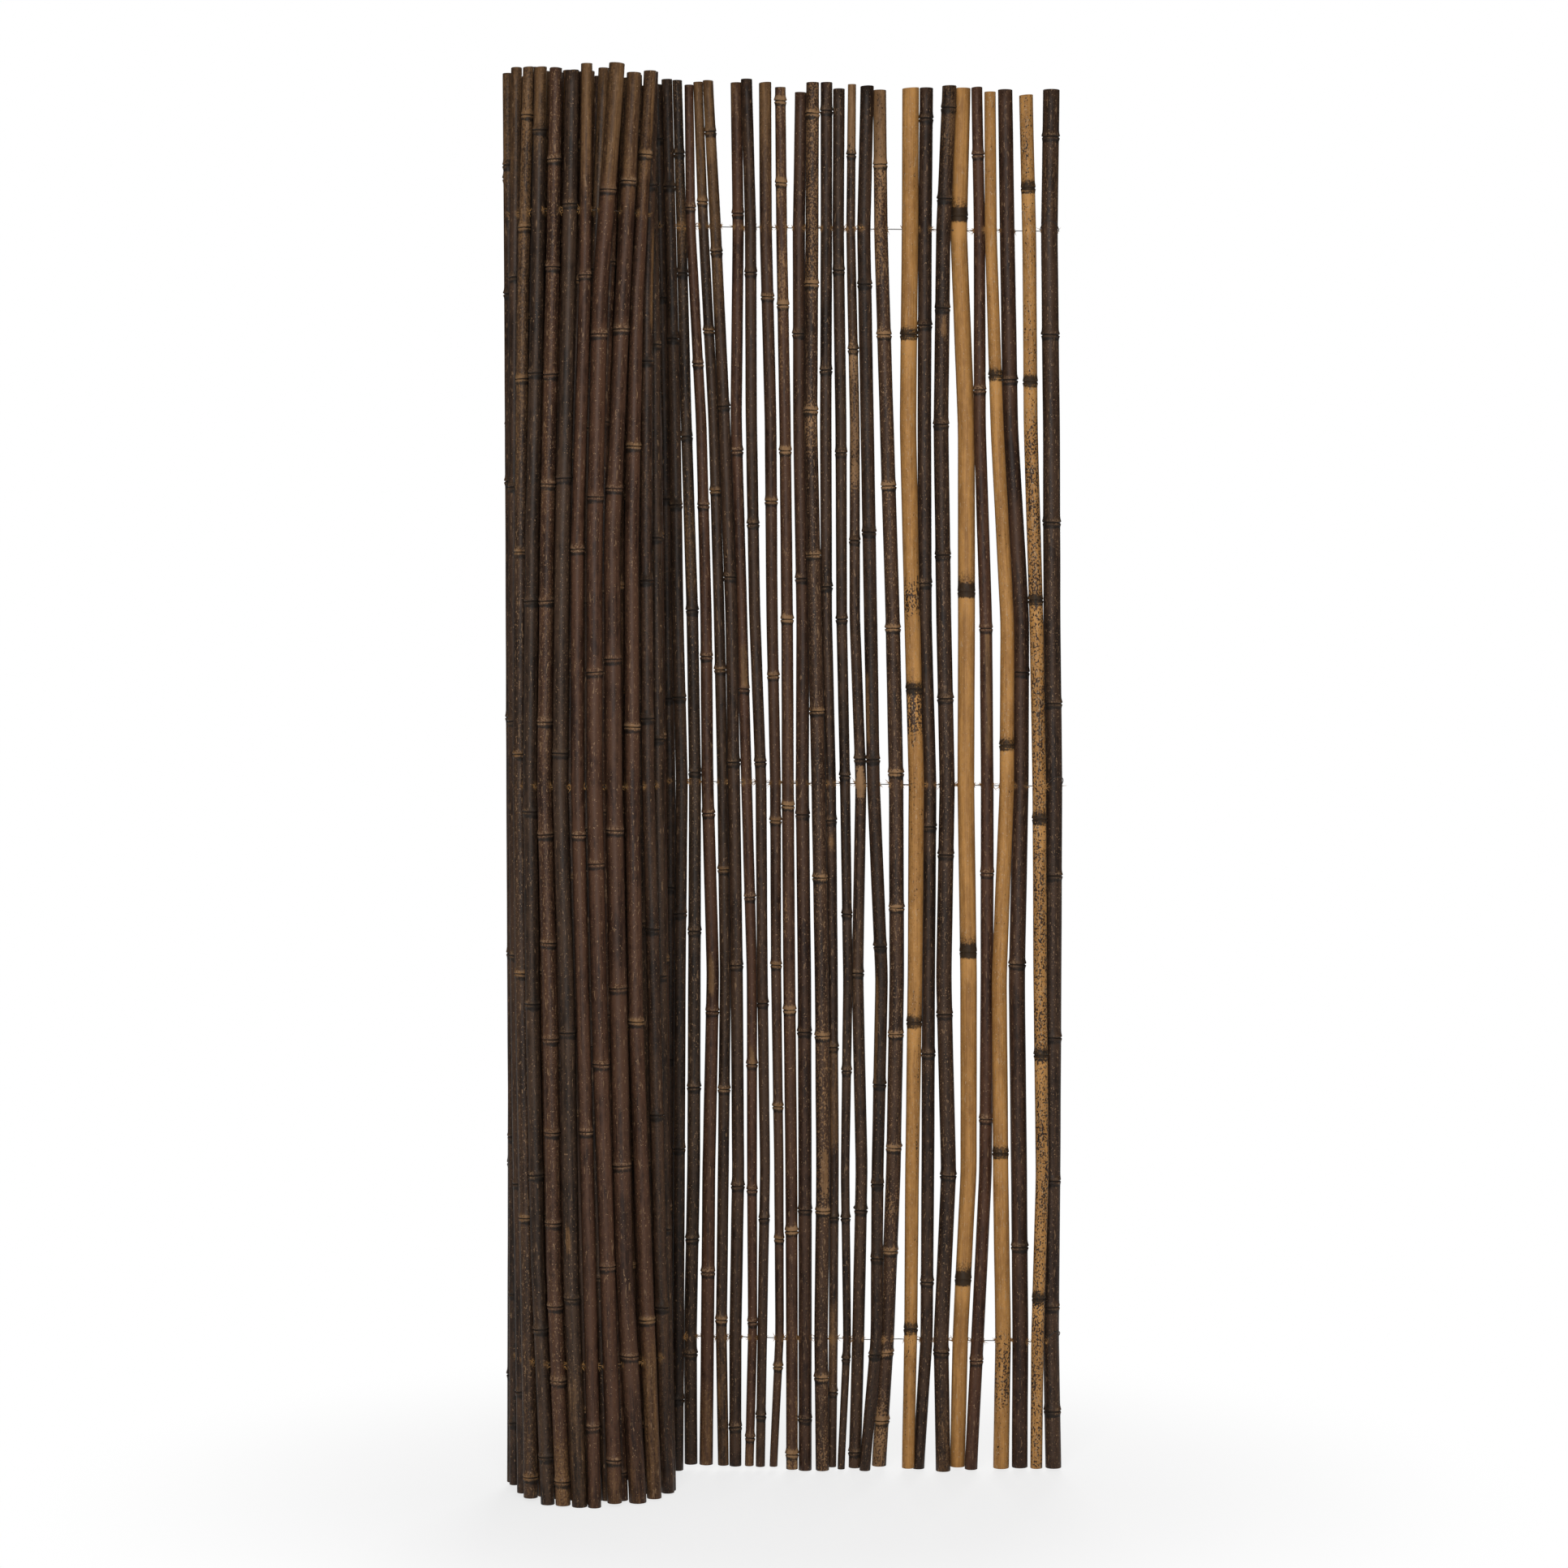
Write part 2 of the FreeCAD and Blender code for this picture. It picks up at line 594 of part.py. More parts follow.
mat = whole_mat()
left_over = settle(mat)
centre_footprint(mat)
set_crossings(mat)
print("canes", len(mat), "overlap left in the layout", round(left_over, 3))

parts = []
bends = {id(cane): [] for cane in mat}
for which, (node, _) in enumerate(WIRES):
    centres, points = threading(mat, which)
    first = end_loop(centres[0][0], centres[0][1], points[0])
    last = end_loop(centres[-1][0], centres[-1][1], points[-1])
    route = first[::-1] + points + last
    starts = [first[0]] + points
    ends = points + [last[0]]
    for cane, start, end in zip(mat, starts, ends):
        bends[id(cane)].append((start, end))
    wire = doc.addObject("Part::Feature", node)
    wire.Shape = wire_shape(route)
    wire.Placement = FreeCAD.Placement()
    wire.Label = node
    parts.append(wire)

nodes = {}
for cane in mat:
    nodes.setdefault(cane.node, []).append(cane)
for node in sorted(nodes):
    parts.append(add_node(node, nodes[node], bends))

doc.recompute()

failed = [item.Name for item in doc.Objects if "Invalid" in item.State or "Error" in item.State]
if failed:
    raise RuntimeError("failed objects " + ", ".join(failed))
for part in parts:
    if part.Shape.isNull() or not part.Shape.isValid() or not part.Shape.Solids:
        raise RuntimeError("bad shape " + part.Label)
for item in doc.Objects:
    if item.TypeId == "Part::Cut" and item.Shape.Volume < 0.9 * item.Base.Shape.Volume:
        raise RuntimeError("drilling lost material in " + item.Name)

os.makedirs("parts", exist_ok=True)
for part in parts:
    part.Shape.exportStep("parts/%s.step" % part.Label)
print("parts", len(parts), "solids", sum(len(p.Shape.Solids) for p in parts))
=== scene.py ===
import bpy
import bmesh
import math
import random
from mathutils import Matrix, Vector, noise
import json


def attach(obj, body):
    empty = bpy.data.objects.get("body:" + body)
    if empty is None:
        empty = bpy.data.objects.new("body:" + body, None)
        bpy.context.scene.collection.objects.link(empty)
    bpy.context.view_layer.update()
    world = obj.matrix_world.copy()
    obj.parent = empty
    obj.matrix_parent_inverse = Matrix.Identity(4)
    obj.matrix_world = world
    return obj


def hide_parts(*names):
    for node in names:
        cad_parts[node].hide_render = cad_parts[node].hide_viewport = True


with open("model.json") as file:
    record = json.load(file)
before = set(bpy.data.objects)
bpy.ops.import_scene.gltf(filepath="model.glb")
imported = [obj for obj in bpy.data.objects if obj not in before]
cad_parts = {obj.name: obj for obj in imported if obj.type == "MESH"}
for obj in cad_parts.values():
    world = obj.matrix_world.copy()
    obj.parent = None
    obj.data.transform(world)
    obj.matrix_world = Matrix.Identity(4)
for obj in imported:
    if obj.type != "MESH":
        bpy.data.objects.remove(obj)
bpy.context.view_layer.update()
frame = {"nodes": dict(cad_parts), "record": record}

# Canes of the open panel
# Whole bamboo culms, sawn to two metres and stained nearly black, with the stain worn and flaking
# off in places. Each stands on its sawn foot, held upright by three wires through drilled holes.

# A knuckle: heights about it, and how far the skin stands out there, in millimetres. The lower
# ring is the scar of the leaf sheath, the upper one is the full ring above the groove.
KNUCKLE_PROFILE = ((-11, 0), (-7.2, 0.04), (-5, 0.42), (-3.6, 0.8), (-2.25, 1.0), (-1.5, 0.55),
                   (-0.9, -0.4), (-0.3, -0.1), (0.5, 0.8), (1.35, 1.2), (2.3, 1.1), (3.8, 0.74),
                   (6, 0.32), (9, 0.05), (13, 0))
# Faces round a cane, its knuckles' profile, and the farthest that two rings of its skin lie apart.
SEEN_DETAIL = {"sides": 24, "profile": KNUCKLE_PROFILE, "stride": 0.021}

# Each kind of knuckle: how full it is, how bare, how pale its scar is, soot above it and all round
# it, worn skin (amount, height in millimetres, reach), and painted shade on the flanks where its
# cane faces its neighbours.
KNUCKLE_KINDS = {
    "grey": dict(bulge=1.25, bare=0, scar=1, band=0.25, burn=0, worn=(0.35, 3, 7), flank_shade=0.42),
    "gold": dict(bulge=1.3, bare=0.6, scar=1, band=0, burn=0, worn=(0.5, 0, 8), flank_shade=0.42),
    "pale": dict(bulge=1.15, bare=0, scar=1.2, band=0, burn=0, worn=(0.6, 3, 9), flank_shade=0.42),
    "dark": dict(bulge=1.05, bare=0, scar=0.6, band=0.7, burn=0, worn=(0, 0, 1), flank_shade=0.14),
    "black": dict(bulge=0.85, bare=0, scar=0.5, band=0, burn=0.95, worn=(0, 0, 1), flank_shade=0.14),
}
STUB_LENGTHS = (0.0003, 0.0004, 0.0006, 0.001, 0.002, 0.0032)  # of a knuckle's cut-off side branch
GROOVE_DEPTH = 0.00035  # of the flat groove that runs up from the side branch
UNEVENNESS = 0.0002  # of the skin between knuckles
SKIN_BLEND = 0.014  # a ring is the mean of the skin here and this far up and down

WORN_EDGE = 0.0005  # height of the rounded edge of a sawn end
EDGE_ROUNDING = 0.0004  # how far that edge draws in
SAW_SLANTS = (0.01, 0.02, 0.04, 0.08)  # how far a saw cut is off level
CULM_WALL = 0.0036
THINNEST_BORE = 0.0018
BORE_DEPTH = 0.105  # the deepest that an open end's bore goes
BORE_STOP = 0.006  # how far short of a knuckle it stops

WIRE_LEVELS = (0.191, 0.9955, 1.8)
MOUTH = 0.00125  # half the height of a drilled hole's mouth
MOUTH_RINGS = (MOUTH, 0.0042, 0.0085)  # rings of the skin above and below a mouth
TORN_REACH = 0.0046  # how far the skin is torn off round a mouth
CLOSEST_RINGS = 0.0003
FAR_OFF = 99  # distance to a knuckle, in millimetres, where a cane has none

# How a cane is told from the corners of its CAD solid.
SAME_LEVEL = 5e-6  # corners this close in height lie on one circle
CIRCLE_CORNERS = 30  # a circle of the skin has at least as many, a hole's rim has fewer at a level
OUTER_SHARE = 0.85  # corners of a circle nearer its middle than this share lie on the bore
BORE_SHARE = 0.8  # a circle smaller than this share of the last one is the bore's floor
MOUTH_SEARCH = 0.0075  # a hole's rim lies this close to its wire's usual height
# Gaps below and above the middle circle of a knuckle, the knuckle's height above that circle, and
# how many circles beside it are the knuckle's own: for a seen cane, and for a hidden one.
KNUCKLE_CIRCLES = ((0.00135, 0.00225, 0.0009, 1), (0.0054, 0.009, 0, 0))
GAP_SLACK = 1e-4

# Each row: cane, brightness, redness, speckles, kind of knuckles, how far the stain is gone at some
# heights in millimetres, and strips where it is gone: lowest, highest, degrees right of the front,
# half width in degrees, strength.
PANEL_LOOKS = [
    (1, 0.4, 0.1, 0.3, "grey", ((0, 0.1), (2000, 0.15)), ()),
    (2, 0.4, 0.1, 0.3, "grey", ((0, 0.15), (1800, 0.1), (2000, 0.3)), ()),
    (3, 0.25, 0.0, 0.5, "grey",
     ((0, 0.1), (1240, 0.05), (1270, 0.42), (1420, 0.4), (1450, 0.05), (1730, 0.1), (1760, 0.45),
      (1900, 0.45), (1930, 0.15), (2000, 0.2)),
     ()),
    (4, 0.5, 0.7, 0.3, "pale",
     ((0, 0.5), (110, 0.45), (170, 0.08), (900, 0.05), (1500, 0.2), (2000, 0.3)),
     ((693, 742, -10, 35, 0.9),)),
    (5, 0.4, 0.1, 0.3, "gold",
     ((0, 0.55), (190, 0.45), (260, 0.1), (1780, 0.1), (1850, 0.6), (2000, 0.8)),
     ()),
    (6, 0.4, 0.2, 0.3, "grey", ((0, 0.2), (1600, 0.1), (1680, 0.5), (2000, 0.75)), ()),
    (7, 0.5, 0.8, 0.4, "pale",
     ((0, 0.6), (36, 0.5), (80, 0.15), (1900, 0.25), (2000, 0.5)),
     ((1136, 1195, 10, 30, 0.9), (587, 609, 0, 25, 1))),
    (8, 0.55, 0.2, 0.3, "grey", ((0, 0.2), (2000, 0.25)), ()),
    (9, 0.5, 0.5, 0.3, "gold", ((0, 0.3), (1700, 0.2), (1860, 0.5), (2000, 0.75)), ()),
    (10, 0.75, 0.7, 0.3, "gold", ((0, 0.5), (300, 0.38), (1500, 0.42), (2000, 0.5)), ()),
    (11, 0.4, 0.5, 0.3, "grey", ((0, 0.15), (2000, 0.15)), ()),
    (12, 0.5, 0.3, 1.0, "gold",
     ((0, 0.36), (120, 0.22), (350, 0.18), (380, 0.34), (650, 0.34), (690, 0.14), (1450, 0.14),
      (1480, 0.42), (1540, 0.42), (1570, 0.16), (1690, 0.22), (1720, 0.44), (2000, 0.48)),
     ((405, 470, 15, 25, 0.8),)),
    (13, 0.4, 0.2, 0.4, "grey",
     ((0, 0.2), (105, 0.2), (125, 0.55), (245, 0.5), (270, 0.15), (450, 0.15), (475, 0.55),
      (610, 0.5), (635, 0.1), (2000, 0.15)),
     ((895, 922, 5, 35, 1),)),
    (14, 0.35, 0.1, 0.3, "grey", ((0, 0.2), (2000, 0.15)), ()),
    (15, 0.5, 0.2, 0.5, "grey",
     ((0, 0.3), (150, 0.2), (1400, 0.25), (1440, 0.6), (1620, 0.6), (1650, 0.25), (1900, 0.35),
      (1930, 0.75), (2000, 0.8)),
     ((978, 1019, 0, 40, 0.9),)),
    (16, 0.4, 0.2, 0.3, "grey",
     ((0, 0.2), (2000, 0.15)),
     ((1048, 1154, -50, 22, 1), (554, 719, -45, 16, 0.8), (300, 312, 0, 30, 1))),
    (17, 0.55, 0.3, 0.8, "gold",
     ((0, 0.6), (85, 0.55), (120, 0.25), (355, 0.25), (375, 0.5), (400, 0.5), (430, 0.22),
      (1700, 0.3), (1730, 0.48), (1880, 0.5), (1905, 0.75), (2000, 0.8)),
     ()),
    (18, 0.6, 0.2, 0.5, "dark",
     ((0, 0.75), (1050, 0.75), (1080, 0.5), (1130, 0.5), (1150, 0.75), (1230, 0.75), (1250, 0.5),
      (1280, 0.5), (1300, 0.8), (2000, 0.8)),
     ()),
    (19, 0.35, 0.2, 0.3, "grey", ((0, 0.2), (2000, 0.15)), ()),
    (20, 0.4, 0.2, 0.6, "grey",
     ((0, 0.5), (80, 0.45), (130, 0.15), (1870, 0.15), (1900, 0.5), (2000, 0.45)),
     ((1639, 1672, 10, 25, 0.9),)),
    (21, 0.6, 0.5, 0.3, "black", ((0, 0.85), (2000, 0.85)), ()),
    (22, 0.5, 0.8, 0.3, "pale", ((0, 0.2), (2000, 0.25)), ((1042, 1213, 10, 25, 0.7),)),
    (23, 0.65, 0.1, 0.7, "dark",
     ((0, 0.8), (80, 0.8), (100, 0.6), (200, 0.6), (220, 0.85), (2000, 0.85)),
     ()),
    (24, 0.4, 0.5, 0.3, "grey", ((0, 0.15), (2000, 0.15)), ()),
    (25, 0.6, 0.2, 1.0, "dark", ((0, 0.6), (1500, 0.62), (1560, 0.8), (2000, 0.75)), ()),
    (26, 0.35, 0.2, 0.6, "grey",
     ((0, 0.2), (1800, 0.12), (1830, 0.42), (1900, 0.42), (1925, 0.12), (2000, 0.2)),
     ()),
]


def reading(rows, height):
    """Straight-line reading of rows that start with a height, level past the first and last."""
    k = 1
    while k < len(rows) - 1 and height > rows[k][0]:
        k += 1
    low, high = rows[k - 1], rows[k]
    part = min(1, max(0, (height - low[0]) / (high[0] - low[0])))
    return [a + (b - a) * part for a, b in zip(low[1:], high[1:])]


def bell(x, width):
    return math.exp(-(x / width) ** 2)


def shortest(turn):
    """A turn in radians, taken the short way round."""
    return (turn + math.pi) % (2 * math.pi) - math.pi


def skin_circles(points):
    """Level circles of a cane's skin, and the corners on no circle: the rims of its holes."""
    levels = []
    for point in sorted(points, key=lambda p: p.z):
        if levels and point.z - levels[-1][0].z < SAME_LEVEL:
            levels[-1].append(point)
        else:
            levels.append([point])
    circles = []
    rims = []
    for level in levels:
        if len(level) < CIRCLE_CORNERS:
            rims += level
            continue
        xs = [p.x for p in level]
        ys = [p.y for p in level]
        middle = Vector(((min(xs) + max(xs)) / 2, (min(ys) + max(ys)) / 2, level[0].z))
        reach = max((p - middle).length for p in level)
        ring = [p for p in level if (p - middle).length > OUTER_SHARE * reach]
        centre = sum(ring, Vector()) / len(ring)
        radius = sum((p - centre).length for p in ring) / len(ring)
        if not circles or radius > BORE_SHARE * circles[-1][3]:
            circles.append((centre.z, centre.x, centre.y, radius))
    return circles, rims


def find_knuckles(circles):
    """Heights of a cane's knuckles, and the circles of the plain skin between them."""
    knuckles = []
    raised = set()
    for k in range(1, len(circles) - 1):
        below = circles[k][0] - circles[k - 1][0]
        above = circles[k + 1][0] - circles[k][0]
        for gap_below, gap_above, up, beside in KNUCKLE_CIRCLES:
            if abs(below - gap_below) < GAP_SLACK and abs(above - gap_above) < GAP_SLACK:
                knuckles.append(circles[k][0] + up)
                raised.update(range(k - beside, k + beside + 1))
    return knuckles, [circle for k, circle in enumerate(circles) if k not in raised]


def find_mouths(rims, skin):
    """Height of each drilled hole, and the bearings of its two mouths."""
    mouths = []
    forward = None
    for level in WIRE_LEVELS:
        near = [p for p in rims if abs(p.z - level) < MOUTH_SEARCH]
        height = sum(p.z for p in near) / len(near)
        x, y, _ = reading(skin, height)
        sides = [Vector((p.x - x, p.y - y)) for p in near]
        forward = forward or sides[0]
        ahead = sum((s for s in sides if s.dot(forward) > 0), Vector((0, 0)))
        behind = sum((s for s in sides if s.dot(forward) <= 0), Vector((0, 0)))
        mouths.append((height, math.atan2(ahead.y, ahead.x), math.atan2(behind.y, behind.x)))
        forward = ahead
    return mouths


def read_cane(points):
    """A cane's skin, knuckles and drilled mouths, from the corners of its CAD solid."""
    circles, rims = skin_circles(points)
    knuckles, skin = find_knuckles(circles)
    return {"skin": skin, "knuckles": knuckles, "mouths": find_mouths(rims, skin),
            "foot": skin[0][0], "top": skin[-1][0]}


def read_canes(node):
    """The canes of a CAD node, from a merged copy of its mesh, one for each separate solid."""
    whole = bmesh.new()
    whole.from_mesh(frame["nodes"][node].data)
    bmesh.ops.remove_doubles(whole, verts=whole.verts, dist=2e-6)
    whole.verts.index_update()
    canes = []
    known = set()
    for start in whole.verts:
        if start.index in known:
            continue
        known.add(start.index)
        queue = [start]
        points = []
        while queue:
            vert = queue.pop()
            points.append(vert.co.copy())
            for edge in vert.link_edges:
                other = edge.other_vert(vert)
                if other.index not in known:
                    known.add(other.index)
                    queue.append(other)
        canes.append(read_cane(points))
    whole.free()
    return canes


def culm_heights(cane, detail):
    """Heights of the rings of a cane's skin, close together at its knuckles and drilled holes."""
    wanted = [cane["foot"], cane["foot"] + WORN_EDGE, cane["top"] - WORN_EDGE, cane["top"]]
    for knuckle in cane["knuckles"]:
        wanted += [knuckle + step / 1000 for step, _ in detail["profile"]]
    for mouth, _, _ in cane["mouths"]:
        wanted = [h for h in wanted if abs(h - mouth) > 2 * MOUTH]
        wanted += [mouth + way * reach for way in (-1, 1) for reach in MOUTH_RINGS]
    wanted = sorted(h for h in wanted if cane["foot"] <= h <= cane["top"])
    heights = [wanted[0]]
    for height in wanted[1:]:
        gap = height - heights[-1]
        if gap < CLOSEST_RINGS:
            continue
        count = math.ceil(gap / detail["stride"])
        heights += [heights[-1] + gap * k / count for k in range(1, count)] + [height]
    return heights


def culm_quirks(cane, chance):
    """What growth and the saw gave one cane: its knuckles' scars, stubs and grooves, its cuts."""
    count = len(cane["knuckles"]) + 1
    return {
        "scars": [(chance.uniform(0.2, 1.25), chance.uniform(0.6, 1.4), chance.uniform(-0.8, 0.8))
                  for _ in range(count)],
        "stubs": [chance.choice(STUB_LENGTHS) for _ in range(count)],
        "grooves": [math.radians(chance.uniform(-150, -30) + 180 * (k % 2)) for k in range(count)],
        "spot": Vector((chance.uniform(-9, 9), chance.uniform(-9, 9), chance.uniform(-9, 9))),
        "saw_side": chance.uniform(0, 2 * math.pi),
        "saw_slant": chance.choice(SAW_SLANTS),
    }


def swell(cane, height, profile):
    """Nearest knuckle, the distance to it in millimetres, and how far it lifts the skin."""
    if not cane["knuckles"]:
        return 0, FAR_OFF, 0
    which = min(range(len(cane["knuckles"])), key=lambda k: abs(height - cane["knuckles"][k]))
    off = (height - cane["knuckles"][which]) * 1000
    if off < profile[0][0] or off > profile[-1][0]:
        return which, off, 0
    return which, off, reading(profile, off)[0] / 1000


def groove_at(cane, height):
    """Number of knuckles below a height, and the depth there of the groove above the last one."""
    knuckles = cane["knuckles"]
    below = sum(1 for k in knuckles if k < height)
    start = knuckles[below - 1] if below else cane["foot"] - 0.1
    stop = knuckles[below] if below < len(knuckles) else cane["top"] + 0.2
    along = (height - start) / (stop - start)
    return below, GROOVE_DEPTH * min(1, along * 12) * max(0, 1 - along * 1.2)


def mouth_bearings(cane):
    """Height and bearing of each drilled hole, with bearings that turn the short way between."""
    bearings = [(height, ahead) for height, ahead, _ in cane["mouths"]]
    for k in (1, 2):
        change = shortest(bearings[k][1] - bearings[k - 1][1])
        bearings[k] = (bearings[k][0], bearings[k - 1][1] + change)
    return bearings


def torn_skin(cane, height, angle, radius):
    """How far the drill has torn the skin off at one spot."""
    torn = 0
    for level, *ways in cane["mouths"]:
        if abs(height - level) < 0.012:
            for way in ways:
                aside = radius * shortest(angle - way)
                torn += bell(math.hypot(aside, height - level), TORN_REACH)
    return torn


def stain(look, off, height, turn, scar_quirk):
    """How the skin looks at one spot: stain gone, redness, pale scar, soot, painted shade and the
    like.
    """
    _, tone, ruddy, speckle, knuckle, bare_rows, strips = look
    kind = KNUCKLE_KINDS[knuckle]
    strength, spread, skew = scar_quirk
    gone = reading(bare_rows, height * 1000)[0]
    for low, high, side, width, amount in strips:
        away = (turn - side + 180) % 360 - 180
        ends = min(1, max(0, min(height * 1000 - low, high - height * 1000) / 6 + 0.5))
        gone += amount * ends * bell(away, width)
    off += skew * math.sin(math.radians(turn))
    gone += kind["bare"] * bell(off, 5)
    scar = strength * (bell(off + 2.8, 2 * spread) + 0.9 * bell(off - 2.8, 2.8 * spread))
    scar *= kind["scar"]
    # A dark line in the knuckle's groove, and painted shadow under the raised ring of the sheath
    # scar.
    soot_and_shade = 0.9 * bell(off + 0.5, 0.8) + 0.8 * bell(off + 6.4, 2.2)
    if off >= -4.5:
        soot_and_shade += kind["band"] * bell(max(0, off - 4), 7)
    soot_and_shade += kind["burn"] * bell(max(0, abs(off - 3) - 6), 5)
    worn, worn_height, worn_reach = kind["worn"]
    fresh = 0.7 * bell(off + 18, 14) if off < -4 else 0
    fresh += worn * bell(off - worn_height, worn_reach)
    return min(1, gone), ruddy, min(1, scar), min(1, soot_and_shade), speckle, tone, min(1, fresh)


def culm_layers(mesh):
    """A bmesh's layers for the stained skin: place on the culm, finish and marks."""
    return (mesh.verts.layers.float_vector.new("culm"), mesh.verts.layers.float_color.new("finish"),
            mesh.verts.layers.float_color.new("mark"))


def draw_skin(mesh, layers, cane, look, quirks, heights, detail):
    """Draws the rings of a plain tube to a cane's skin, and notes the finish of each corner."""
    culm, finish, mark = layers
    kind = KNUCKLE_KINDS[look[4]]
    spot = quirks["spot"]
    bearings = mouth_bearings(cane)
    last = len(heights) - 1
    half = math.pi / detail["sides"]
    rings = []
    for height in heights:
        near = [reading(cane["skin"], height + way * SKIN_BLEND) for way in (-1, 0, 1)]
        middle = [sum(values) / 3 for values in zip(*near)]
        rings.append((*middle, *swell(cane, height, detail["profile"]), *groove_at(cane, height),
                      reading(bearings, height)[0] + half))
    for vert in list(mesh.verts):
        level = round((vert.co.z + 0.5) * last)
        height = heights[level]
        x, y, radius, which, off, lift, below, groove, turn = rings[level]
        angle = math.atan2(vert.co.y, vert.co.x) + turn
        side = Vector((math.cos(angle), math.sin(angle), 0))
        if lift > 0:
            lump = noise.noise(side * 2.3 + spot + Vector((0, 0, height * 90)))
            lift *= kind["bulge"] * min(1.12, 0.84 + 0.75 * lump)
        radius += lift - groove * bell(shortest(angle - quirks["grooves"][below]), 0.5)
        radius += UNEVENNESS * noise.noise(side * 1.3 + spot + Vector((0, 0, height * 14)))
        bud = bell(shortest(angle - quirks["grooves"][which]), 0.32) * bell(off - 2.6, 2.4)
        radius += quirks["stubs"][which] * bud
        if level in (0, last):
            radius -= EDGE_ROUNDING
        drop = 0
        if level >= last - 1:
            drop = quirks["saw_slant"] * radius * (1 + math.cos(angle - quirks["saw_side"]))
        vert.co = Vector((x + radius * side.x, y + radius * side.y, height - drop))
        gone, ruddy, scar, soot_and_shade, speckle, tone, fresh = stain(
            look, off, height, math.degrees(angle) + 90, quirks["scars"][which])
        torn = torn_skin(cane, height, angle, radius)
        # Painted shade on the flanks that face the next canes along the wires, where shade falls
        # between them.
        facing = abs(math.cos(angle - turn + half)) ** 3
        soot_and_shade = min(1, soot_and_shade + kind["flank_shade"] * facing)
        vert[culm] = Vector((radius * side.x, radius * side.y, height)) + spot * 0.5
        vert[finish] = (min(1, gone + torn), ruddy, min(1, scar + 0.8 * bud), 0)
        vert[mark] = (soot_and_shade, speckle, tone, min(1, fresh + 0.8 * torn))


def hollow_end(mesh, layers, cane, quirks, end, way):
    """Sinks the open bore of a sawn end to just short of the first knuckle, inside its wall."""
    culm, finish, mark = layers
    rim = [e for e in mesh.edges if e.is_boundary and abs(e.verts[0].co.z - end) < 0.004]
    depth = min([BORE_DEPTH] + [abs(knuckle - end) - BORE_STOP for knuckle in cane["knuckles"]])
    depth = max(depth, BORE_STOP)
    x, y, radius = reading(cane["skin"], end)
    inner_x, inner_y, _ = reading(cane["skin"], end + way * depth)
    bore = max(radius - CULM_WALL, THINNEST_BORE)
    saw_side = quirks["saw_side"]
    for share, down in ((bore / radius, 0), (bore * 0.97 / radius, depth),
                        (0.3 * bore / radius, depth)):
        grown = bmesh.ops.extrude_edge_only(mesh, edges=rim)["geom"]
        rim = [g for g in grown if isinstance(g, bmesh.types.BMEdge) and g.is_boundary]
        part = down / depth
        centre = Vector((x + (inner_x - x) * part, y + (inner_y - y) * part, end + way * down))
        for vert in grown:
            if not isinstance(vert, bmesh.types.BMVert):
                continue
            flat = Vector((vert.co.x - centre.x, vert.co.y - centre.y, 0)).normalized()
            drop = 0
            if way < 0 and not down:
                lean = 1 + flat.x * math.cos(saw_side) + flat.y * math.sin(saw_side)
                drop = quirks["saw_slant"] * radius * lean
            vert.co = centre + flat * radius * share - Vector((0, 0, drop))
            vert[culm] = flat * radius * share + Vector((0, 0, vert.co.z)) + quirks["spot"] * 0.5
            vert[finish] = (0.5, 0.1, 0, 1)
            # Painted shade, darker the deeper into the bore.
            vert[mark] = (0.55 * part, 0.5, 0.5, 0)
    bmesh.ops.contextual_create(mesh, geom=rim)


def open_mouths(mesh, layers, cane):
    """Sinks the mouths of a cane's drilled holes, and gives the place and direction of each."""
    _, finish, mark = layers
    mouths = []
    for height, ahead, behind in cane["mouths"]:
        x, y, radius = reading(cane["skin"], height)
        near = [f for f in mesh.faces if abs(f.calc_center_median().z - height) < 0.0004]
        for angle in (ahead, behind):
            out = Vector((math.cos(angle), math.sin(angle), 0))
            point = Vector((x + radius * out.x, y + radius * out.y, height))
            face = min(near, key=lambda f: (f.calc_center_median() - point).length)
            mouths.append((face.calc_center_median(), out))
            bmesh.ops.inset_individual(mesh, faces=[face], thickness=0.00025, depth=-0.0002)
            for vert in face.verts:
                vert[finish] = (0.8, 0.2, 0.6, 1)
            # The hole's bottom gets full soot: painted shade deep in the hole.
            bmesh.ops.inset_individual(mesh, faces=[face], thickness=0.0001, depth=-0.003)
            for vert in face.verts:
                vert[mark] = (1, 0.5, 0.4, 0)
    return mouths


def add_culm(whole, cane, look, seed, detail):
    """Adds a cane to a bmesh: a tube drawn up in rings, with open sawn ends and drilled holes."""
    quirks = culm_quirks(cane, random.Random(seed))
    heights = culm_heights(cane, detail)
    mesh = bmesh.new()
    layers = culm_layers(mesh)
    bmesh.ops.create_cone(mesh, segments=detail["sides"], radius1=1, radius2=1, depth=1,
                          cap_ends=False)
    upright = [e for e in mesh.edges if abs(e.verts[0].co.z - e.verts[1].co.z) > 0.5]
    bmesh.ops.subdivide_edges(mesh, edges=upright, cuts=len(heights) - 2, use_grid_fill=True)
    draw_skin(mesh, layers, cane, look, quirks, heights, detail)
    hollow_end(mesh, layers, cane, quirks, heights[0], 1)
    hollow_end(mesh, layers, cane, quirks, heights[-1], -1)
    mouths = open_mouths(mesh, layers, cane)
    bmesh.ops.recalc_face_normals(mesh, faces=mesh.faces)
    single = bpy.data.meshes.new("culm")
    mesh.to_mesh(single)
    mesh.free()
    whole.from_mesh(single)
    bpy.data.meshes.remove(single)
    return mouths


